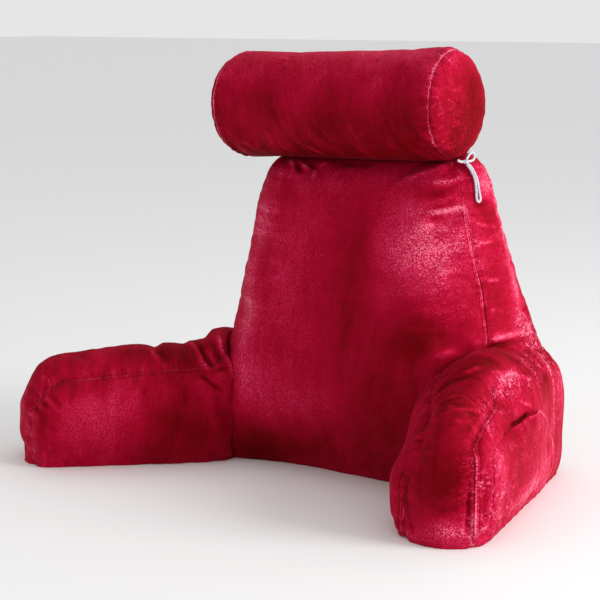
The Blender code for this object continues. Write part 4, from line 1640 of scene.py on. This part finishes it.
@dataclass
class LeftArm(Arm):
    """The arm on the left, which bends forward out of the backrest's corner."""

    node: str = "arm_left"
    tuck_low: float = 0.033
    tuck_high: float = 0.006
    end_fill: float = 0.004
    dip: float = 0.008
    # painted shade on the arm's upward faces
    painted_top_shade: float = 0.1
    side: Side = Side.LEFT
    start: Row = (-0.172, 0.08)
    heading_in: float = 4.0
    heading_out: float = 48.0
    bend_from: float = 0.07
    bend_to: float = 0.2
    corners: tuple[Corner, ...] = (
        Corner(0.0, -SINK, 0.04),
        Corner(0.525, -SINK, 0.02),
        Corner(0.517, 0.131, 0.055),
        Corner(0.28, 0.152, 0.1),
        Corner(0.22, 0.172, 0.06),
        Corner(0.0, 0.175, 0.06),
    )
    stations: tuple[ArmStation, ...] = (
        ArmStation(0.0, 0.01, 0.062),
        ArmStation(0.12, 0.016, 0.068),
        ArmStation(0.24, 0.058, 0.064),
        ArmStation(0.52, 0.054, 0.052),
    )
    # each fold's last number paints a highlight along it, or shade when below zero
    folds: tuple[Fold, ...] = folds_of(
        # gathers across the end seam
        (((-0.412, -0.35, 0.124), (-0.397, -0.352, 0.115), (-0.378, -0.348, 0.098)), -0.0014, 0.003, -0.2),
        (((-0.415, -0.352, 0.117), (-0.402, -0.356, 0.11), (-0.38, -0.349, 0.088)), 0.0012, 0.0028, 0.14),
        (((-0.419, -0.354, 0.111), (-0.407, -0.358, 0.105), (-0.376, -0.347, 0.075)), -0.0016, 0.003, -0.24),
        (((-0.424, -0.354, 0.104), (-0.41, -0.36, 0.098), (-0.384, -0.351, 0.07)), 0.0012, 0.0028, 0.14),
        (((-0.432, -0.354, 0.096), (-0.414, -0.362, 0.091), (-0.386, -0.354, 0.061)), -0.0016, 0.003, -0.24),
        (((-0.435, -0.355, 0.086), (-0.418, -0.363, 0.081), (-0.392, -0.357, 0.054)), 0.0012, 0.0028, 0.12),
        (((-0.438, -0.356, 0.078), (-0.42, -0.363, 0.072), (-0.396, -0.36, 0.047)), -0.0014, 0.003, -0.22),
        (((-0.44, -0.356, 0.06), (-0.423, -0.363, 0.058), (-0.388, -0.355, 0.038)), -0.0012, 0.003, -0.16),
        (((-0.465, -0.343, 0.09), (-0.445, -0.352, 0.085), (-0.42, -0.363, 0.072)), 0.0016, 0.003, 0.26),
        (((-0.466, -0.342, 0.08), (-0.445, -0.353, 0.073), (-0.424, -0.362, 0.062)), -0.0014, 0.003, -0.2),
        (((-0.465, -0.343, 0.07), (-0.445, -0.353, 0.062), (-0.423, -0.363, 0.053)), 0.0016, 0.003, 0.26),
        (((-0.465, -0.345, 0.054), (-0.445, -0.355, 0.049), (-0.428, -0.362, 0.045)), 0.0014, 0.003, 0.2),
        (((-0.46, -0.349, 0.03), (-0.445, -0.355, 0.026), (-0.428, -0.363, 0.022)), 0.0012, 0.003, 0.2),
        # where the arm bends out of the backrest
        (((-0.244, -0.132, 0.194), (-0.238, -0.138, 0.191), (-0.219, -0.153, 0.175), (-0.197, -0.161, 0.156),
          (-0.19, -0.161, 0.133)), 0.0036, 0.004, 0.36),
        (((-0.254, -0.14, 0.186), (-0.232, -0.156, 0.172), (-0.206, -0.17, 0.152)), -0.0044, 0.005, -0.26),
        (((-0.252, -0.156, 0.176), (-0.246, -0.161, 0.171), (-0.217, -0.175, 0.156)), 0.0018, 0.0032, 0.26),
        (((-0.271, -0.15, 0.178), (-0.242, -0.169, 0.165), (-0.215, -0.178, 0.15)), -0.0054, 0.0056, -0.3),
        (((-0.292, -0.154, 0.175), (-0.264, -0.164, 0.173), (-0.237, -0.179, 0.156), (-0.22, -0.187, 0.146)),
         0.0036, 0.004, 0.34),
        (((-0.334, -0.206, 0.173), (-0.309, -0.21, 0.164), (-0.29, -0.219, 0.154)), 0.0026, 0.0048, 0.22),
        (((-0.322, -0.198, 0.173), (-0.3, -0.203, 0.165), (-0.278, -0.214, 0.151)), -0.0024, 0.006, -0.18),
        (((-0.24, -0.202, 0.143), (-0.228, -0.198, 0.142), (-0.209, -0.186, 0.124), (-0.198, -0.175, 0.114)),
         -0.0022, 0.003, -0.26),
        (((-0.222, -0.192, 0.143), (-0.211, -0.178, 0.148), (-0.197, -0.166, 0.15)), -0.0022, 0.0032, -0.26),
        # soft hollows down the inner panel
        (((-0.295, -0.255, 0.136), (-0.286, -0.262, 0.11), (-0.284, -0.262, 0.076)), -0.003, 0.007, -0.16),
        (((-0.255, -0.221, 0.136), (-0.241, -0.22, 0.112), (-0.235, -0.22, 0.08)), -0.003, 0.008, -0.12),
        (((-0.27, -0.237, 0.128), (-0.262, -0.242, 0.074)), 0.0024, 0.007, 0.06),
    )
    # painted light and shade, such as the shade where the arm meets the backrest, with some of the pile's own tone
    patches: tuple[NapAndLightPatch, ...] = patches_of(
        ((-0.35, -0.325, 0.085), (0.045, 0.06, 0.05), 0.12),
        ((-0.31, -0.29, 0.105), (0.026, 0.05, 0.03), 0.1),
        ((-0.401, -0.361, 0.08), (0.02, 0.03, 0.04), -0.12),
        ((-0.25, -0.235, 0.085), (0.034, 0.06, 0.06), -0.16),
        ((-0.205, -0.2, 0.04), (0.06, 0.06, 0.05), -0.26),
        ((-0.27, -0.25, 0.01), (0.03, 0.04, 0.03), -0.14),
        ((-0.275, -0.2, 0.163), (0.04, 0.05, 0.02), -0.18),
        ((-0.376, -0.287, 0.153), (0.05, 0.06, 0.02), 0.05),
        ((-0.345, -0.225, 0.17), (0.03, 0.03, 0.02), -0.08),
    )

    def form(self) -> bpy.types.Object:
        """The arm's form, with its end drawn in at the floor and a dip beside the backrest."""
        thing = super().form()
        places = coordinates(thing)
        along, outwards = self.on_arm(places)
        up = places[:, 2]
        low = 1.0 - ease(up, 0.0, 0.042)
        high = ease(up, 0.09, 0.12) * (1.0 - ease(up, 0.125, 0.155))
        full = ease(up, 0.025, 0.05) * (1.0 - ease(up, 0.08, 0.105))
        tuck = self.tuck_low * low * ease(outwards, -0.035, 0.045) + self.tuck_high * high - self.end_fill * full
        tuck *= ease(along, 0.42, 0.53)
        heading = math.radians(self.heading_out)
        places[:, :2] -= np.outer(tuck, (self.side.value * math.sin(heading), -math.cos(heading)))
        places[:, 2] -= self.dip * np.exp(-(((along - 0.185) / 0.035) ** 2)) * ease(up, 0.1, 0.17)
        move_to(thing, places)
        return thing

    def crush(self, places: np.ndarray, normals: np.ndarray) -> np.ndarray:
        """The outer panel is a little crushed, and the rest hardly."""
        _, outwards = self.on_arm(places)
        return 0.06 + 0.2 * ease(outwards, 0.03, 0.06)

    def wrinkle(self, places: np.ndarray, normals: np.ndarray) -> np.ndarray:
        """The end is the most wrinkled."""
        along, _ = self.on_arm(places)
        return 0.12 + 0.2 * ease(normals[:, 2], 0.1, 0.6) + 0.35 * ease(along, 0.47, 0.51)


# ---- pocket --------------------------------------------------------------------------------------------
@dataclass
class ArmPocket:
    """A flat patch of the cover's cloth, sewn to the right arm's outer panel and open along its top."""

    arm: Arm
    node: str = "arm_pocket"
    finish: VelvetFinish = field(default_factory=VelvetFinish)
    thick: float = 0.0012
    lift: float = 0.0005
    hem_rise: float = 0.0006
    # painted highlight along the pocket's hem
    hem_painted_highlight: float = 0.34
    outside: float = 0.16  # how far out from the arm's middle line its side is looked for, and how far in
    inside_line: float = 0.02
    mouth_gape: float = 0.0028
    mouth_from: float = 0.204
    mouth_to: float = 0.265
    columns: int = 136
    lines: int = 61

    def pattern(self) -> tuple[np.ndarray, np.ndarray]:
        """The patch's grid points laid out flat: their distances along the arm and their heights."""
        rows = pocket_rows()
        along, part = np.meshgrid(
            np.linspace(rows[0, 0], rows[-1, 0], self.columns), np.linspace(0.0, 1.0, self.lines), indexing="ij"
        )
        low = np.interp(along, rows[:, 0], rows[:, 1])
        high = np.interp(along, rows[:, 0], rows[:, 2])
        return along.ravel(), (low + (high - low) * part).ravel()

    def build(self) -> bpy.types.Object:
        """Lay the patch over the finished arm and hand it to the frame.

        Returns:
            The finished piece.
        """
        along, up = self.pattern()
        inside = np.maximum(pocket_inside(along, up), 0.0)
        tree = tree_of(bpy.data.objects[self.arm.node + "_plush"])
        outer = self.arm.at(along, np.full(len(along), self.outside))
        inner = self.arm.at(along, np.full(len(along), self.inside_line))
        way = inner - outer
        way /= np.linalg.norm(way, axis=1)[:, None]
        rows = pocket_rows()
        below_mouth = np.interp(along, rows[:, 0], rows[:, 2]) - up
        gape = ease(along, self.mouth_from, self.mouth_from + 0.02)
        gape *= 1.0 - ease(along, self.mouth_to, self.mouth_to + 0.04)
        stand = self.lift + self.mouth_gape * gape * (1.0 - ease(below_mouth, 0.0, 0.03))
        behind = 1.0 - ease(along, 0.28, 0.31)
        hem = self.hem_rise * (1.0 - ease(inside, 0.0045, 0.0065)) * behind
        firm = np.maximum(behind * ease(up, 0.022, 0.03), 0.15 + 0.85 * ease(inside, 0.0, 0.008))
        ground = np.zeros((len(along), 3))
        for index, (spot, height, aim) in enumerate(zip(outer, up, way)):
            hit, _, _, _ = tree.ray_cast(Vector((*spot, height)), Vector((*aim, 0.0)), 0.2)
            ground[index] = hit if hit is not None else (*inner[index], height)
        outward = np.column_stack([-way, np.zeros(len(way))])
        shape = bmesh.new()
        layers = []
        for rise in (stand, stand + self.thick * firm + hem):
            spots = ground + outward * rise[:, None]
            verts = [shape.verts.new(spot) for spot in spots]
            layers.append([verts[k : k + self.lines] for k in range(0, len(verts), self.lines)])
        for layer in layers:
            for column, following in zip(layer, layer[1:]):
                for k in range(self.lines - 1):
                    shape.faces.new((column[k], column[k + 1], following[k + 1], following[k]))
        under, over = (
            layer[0]
            + [column[-1] for column in layer[1:]]
            + layer[-1][-2::-1]
            + [column[0] for column in layer[-2:0:-1]]
            for layer in layers
        )
        for k in range(len(under)):
            shape.faces.new((under[k - 1], under[k], over[k], over[k - 1]))
        thing = closed_piece(shape, "pocket_patch")
        # the painted light and shade of the arm's folds, the shadow over the mouth among them
        _, shine = lay_folds(coordinates(thing), self.arm.folds)
        # painted highlight along the hem round the pocket's rear part
        edge = (1.0 - ease(inside, 0.0012, 0.0032)) * behind * ease(up, 0.02, 0.05)
        shine += np.tile(self.hem_painted_highlight * edge, 2)
        self.arm.mark(thing, shine)
        thing.data.materials.append(velvet(self.finish))
        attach(thing, ROOT)
        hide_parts(self.node)
        LOG.info("%s has %d faces", thing.name, len(thing.data.polygons))
        return thing


# ---- ties ----------------------------------------------------------------------------------------------
@dataclass(frozen=True)
class Strap:
    """A place on the strap that swells into the knot, and its thickness in cord thicknesses."""

    place: Row
    thick: float


@dataclass(frozen=True)
class Pair:
    """A place on the middle line of the doubled cord, and how far each strand stands from it."""

    place: Row
    apart: float


@dataclass
class ElasticTie:
    """The knotted tie at one top corner: a strap with its knot, a doubled hanging loop and a small bow."""

    name: str
    spread: Row
    strap: tuple[Strap, ...]
    hanging: tuple[Pair, ...]
    bow: tuple[Row, ...]
    finish: ElasticFinish = field(default_factory=ElasticFinish)
    radius: float = 0.0018
    sides: int = 12
    fineness: int = 6

    def tube(self, name: str, line: np.ndarray, radii: np.ndarray) -> bpy.types.Object:
        """Skin a cord along a line, with rounded ends.

        Args:
            name: The piece's name.
            line: Its points, one a row.
            radii: Its radius at each point.

        Returns:
            The cord.
        """
        ways = np.gradient(line, axis=0)
        ways /= np.linalg.norm(ways, axis=1)[:, None]
        across = unit(np.cross(ways[0], (0.31, 0.87, 0.38)))
        passed = np.concatenate([[0.0], np.cumsum(np.linalg.norm(np.diff(line, axis=0), axis=1))])
        rings = []
        for place, way, radius, run in zip(line, ways, radii, passed):
            across = unit(across - way * (across @ way))
            rings.append((place, way, across, radius, run))
        caps = []
        for (place, way, out, radius, run), sign in ((rings[0], -1.0), (rings[-1], 1.0)):
            for on, wide in ((0.6, 0.8), (0.9, 0.4)):
                caps.append((place + sign * way * radius * on, way, out, radius * wide, run))
        rings = [caps[1], caps[0], *rings, caps[2], caps[3]]
        shape = bmesh.new()
        chart = []
        loops = []
        for place, way, out, radius, run in rings:
            up = np.cross(way, out)
            loop = []
            for side in range(self.sides):
                turn = 2.0 * math.pi * side / self.sides
                loop.append(shape.verts.new(place + radius * (out * math.cos(turn) + up * math.sin(turn))))
                chart.append((run, side / self.sides))
            loops.append(loop)
        for loop, following in zip(loops, loops[1:]):
            for side in range(self.sides):
                after = (side + 1) % self.sides
                shape.faces.new((loop[side], loop[after], following[after], following[side]))
        shape.faces.new(loops[0][::-1])
        shape.faces.new(loops[-1])
        thing = closed_piece(shape, name)
        write_chart(thing, "seam", np.array(chart))
        thing.data.materials.append(elastic(self.finish))
        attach(thing, ROOT)
        return thing

    def build(self) -> list[bpy.types.Object]:
        """Make the tie's three cords and hand them to the frame.

        Returns:
            The finished pieces.
        """
        spread = unit(np.array(self.spread))
        middle = [(np.array(pair.place), pair.apart) for pair in self.hanging]
        strands = [spot + spread * apart for spot, apart in middle]
        strands += [spot - spread * apart for spot, apart in reversed(middle[:-1])]
        strap_line = smooth_line([strap.place for strap in self.strap], self.fineness)
        reached = np.linspace(0.0, len(self.strap) - 1.0, len(strap_line))
        thick = np.interp(reached, np.arange(len(self.strap)), [strap.thick for strap in self.strap])
        knot = self.tube(self.name + "_knotted_strap", strap_line, thick * self.radius)
        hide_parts(self.name + "_knot")
        made = [knot]
        for part, route, others in (("hanging", strands, [knot]), ("bow", self.bow, [])):
            line = smooth_line(route, self.fineness)
            cord = self.tube(f"{self.name}_{part}_cord", line, np.full(len(line), self.radius))
            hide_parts(f"{self.name}_{part}")
            made.append(cord)
        return made


def ties() -> list[ElasticTie]:
    """The ties at the two top corners of the backrest."""
    return [
        ElasticTie(
            name="tie_right",
            spread=(0.27, 0.96, 0.0),
            strap=(
                Strap((0.1482, -0.0715, 0.4832), 1.0),
                Strap((0.15, -0.0665, 0.4812), 1.0),
                Strap((0.1521, -0.0616, 0.481), 1.0),
                Strap((0.1525, -0.0606, 0.481), 1.4),
                Strap((0.153, -0.0593, 0.4809), 1.9),
                Strap((0.1536, -0.0576, 0.4808), 2.1),
                Strap((0.1542, -0.0559, 0.4807), 1.9),
                Strap((0.1547, -0.0546, 0.4807), 1.4),
                Strap((0.1549, -0.054, 0.4807), 0.8),
            ),
            hanging=(
                Pair((0.1566, -0.0572, 0.4765), 0.0021),
                Pair((0.1628, -0.0558, 0.468), 0.0021),
                Pair((0.1703, -0.0577, 0.4555), 0.0022),
                Pair((0.1742, -0.0597, 0.4402), 0.0028),
                Pair((0.176, -0.0609, 0.433), 0.0036),
                Pair((0.1772, -0.0617, 0.4283), 0.0034),
                Pair((0.1778, -0.0622, 0.4258), 0.0021),
                Pair((0.178, -0.0624, 0.425), 0.0),
            ),
            bow=(
                (0.1531, -0.0553, 0.4852),
                (0.1524, -0.048, 0.4893),
                (0.1522, -0.04, 0.493),
                (0.1545, -0.036, 0.489),
                (0.1567, -0.041, 0.4835),
                (0.156, -0.0475, 0.4812),
                (0.1553, -0.052, 0.4812),
            ),
        ),
        ElasticTie(
            name="tie_left",
            spread=(-0.1, 0.99, 0.0),
            strap=(
                Strap((-0.1765, -0.033, 0.4775), 1.0),
                Strap((-0.178, -0.0265, 0.4765), 1.0),
                Strap((-0.1799, -0.019, 0.4753), 1.0),
                Strap((-0.1803, -0.018, 0.4751), 1.4),
                Strap((-0.1808, -0.0167, 0.4748), 1.9),
                Strap((-0.1815, -0.015, 0.4745), 2.1),
                Strap((-0.1822, -0.0133, 0.4742), 1.9),
                Strap((-0.1826, -0.012, 0.474), 1.4),
                Strap((-0.1828, -0.0114, 0.4739), 0.8),
            ),
            hanging=(
                Pair((-0.1845, -0.016, 0.47), 0.0021),
                Pair((-0.1903, -0.0155, 0.4598), 0.0021),
                Pair((-0.1962, -0.0165, 0.447), 0.0022),
                Pair((-0.2015, -0.018, 0.432), 0.0028),
                Pair((-0.2036, -0.0185, 0.4247), 0.0036),
                Pair((-0.2051, -0.0188, 0.4196), 0.0034),
                Pair((-0.2058, -0.019, 0.4171), 0.0021),
                Pair((-0.206, -0.019, 0.4162), 0.0),
            ),
            bow=(
                (-0.1811, -0.012, 0.4785),
                (-0.1795, -0.005, 0.4785),
                (-0.179, 0.005, 0.474),
                (-0.1815, 0.012, 0.4675),
                (-0.186, 0.011, 0.4615),
                (-0.1885, 0.003, 0.4605),
                (-0.1875, -0.005, 0.4645),
                (-0.186, -0.0092, 0.4695),
            ),
        ),
    ]


# ---- studio --------------------------------------------------------------------------------------------
@dataclass
class Studio:
    """The pale floor, the soft lights and the camera."""

    target: Row = (-0.13, -0.07, 0.25)
    azimuth: float = 35.0
    elevation: float = 10.5
    distance: float = 2.4375
    lens: float = 93.6
    sensor: float = 36.0
    floor: FloorFinish = field(default_factory=FloorFinish)

    def camera(self) -> bpy.types.Object:
        """Stand the camera and make it the scene's.

        Returns:
            The camera.
        """
        around, above = math.radians(self.azimuth), math.radians(self.elevation)
        back = Vector((math.sin(around) * math.cos(above), -math.cos(around) * math.cos(above), math.sin(above)))
        data = bpy.data.cameras.new("studio_camera")
        data.lens = self.lens
        data.sensor_width = self.sensor
        stand = bpy.data.objects.new("studio_camera", data)
        stand.location = Vector(self.target) + back * self.distance
        stand.rotation_euler = back.to_track_quat("Z", "Y").to_euler()
        bpy.context.scene.collection.objects.link(stand)
        bpy.context.scene.camera = stand
        return stand

    def light(self, name: str, place: Row, size: float, power: float, colour: Row = (1.0, 1.0, 1.0)) -> None:
        """Hang a soft square light that points at the pillow.

        Args:
            name: Its name.
            place: Where it hangs.
            size: The length of its side.
            power: Its power in watts.
            colour: Its colour.
        """
        data = bpy.data.lights.new(name, "AREA")
        data.size = size
        data.energy = power
        data.color = colour
        lamp = bpy.data.objects.new(name, data)
        lamp.location = place
        lamp.rotation_euler = (Vector(place) - Vector(self.target)).to_track_quat("Z", "Y").to_euler()
        bpy.context.scene.collection.objects.link(lamp)

    def build(self) -> None:
        """Lay the floor, light it and stand the camera."""
        self.camera()
        bpy.ops.object.select_all(action="DESELECT")
        bpy.ops.mesh.primitive_plane_add(size=60.0, location=(0.0, 0.0, 0.0))
        ground = bpy.context.object
        ground.name = "studio_floor"
        ground.data.materials.append(floor_material(self.floor))
        world = bpy.data.worlds.new("studio")
        world.use_nodes = True
        bench = NodeBench(world.node_tree)
        seen = bench.add("ShaderNodeLightPath").outputs["Is Camera Ray"]
        shine = world.node_tree.nodes["Background"]
        bench.feed(shine.inputs["Strength"], bench.math("MULTIPLY_ADD", seen, 0.42, 0.37))
        shine.inputs["Color"].default_value = (1.0, 1.0, 1.0, 1.0)
        bpy.context.scene.world = world
        bpy.context.scene.view_settings.view_transform = "Standard"
        self.light("window_light", (2.8, 0.5, 1.3), 1.4, 69.0)
        self.light("front_fill", (-1.2, -3.0, 1.4), 2.2, 10.0)
        sky = bpy.data.lights.new("sky_light", "SUN")
        sky.energy = 1.3
        sky.angle = math.radians(120.0)
        above = bpy.data.objects.new("sky_light", sky)
        above.rotation_euler = (math.radians(-12.0), math.radians(14.0), 0.0)
        bpy.context.scene.collection.objects.link(above)


def main() -> None:
    """Build the studio and the pillow, piece by piece."""
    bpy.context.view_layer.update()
    Studio().build()
    for tie in ties():
        tie.build()
    right_arm = RightArm()
    cushions: list[Cushion] = [NeckRoll(), Backrest(), right_arm, LeftArm()]
    for cushion in cushions:
        cushion.build()
    ArmPocket(right_arm).build()


if __name__ == "__main__":
    logging.basicConfig(level=logging.INFO, format="%(name)s: %(message)s")
    main()
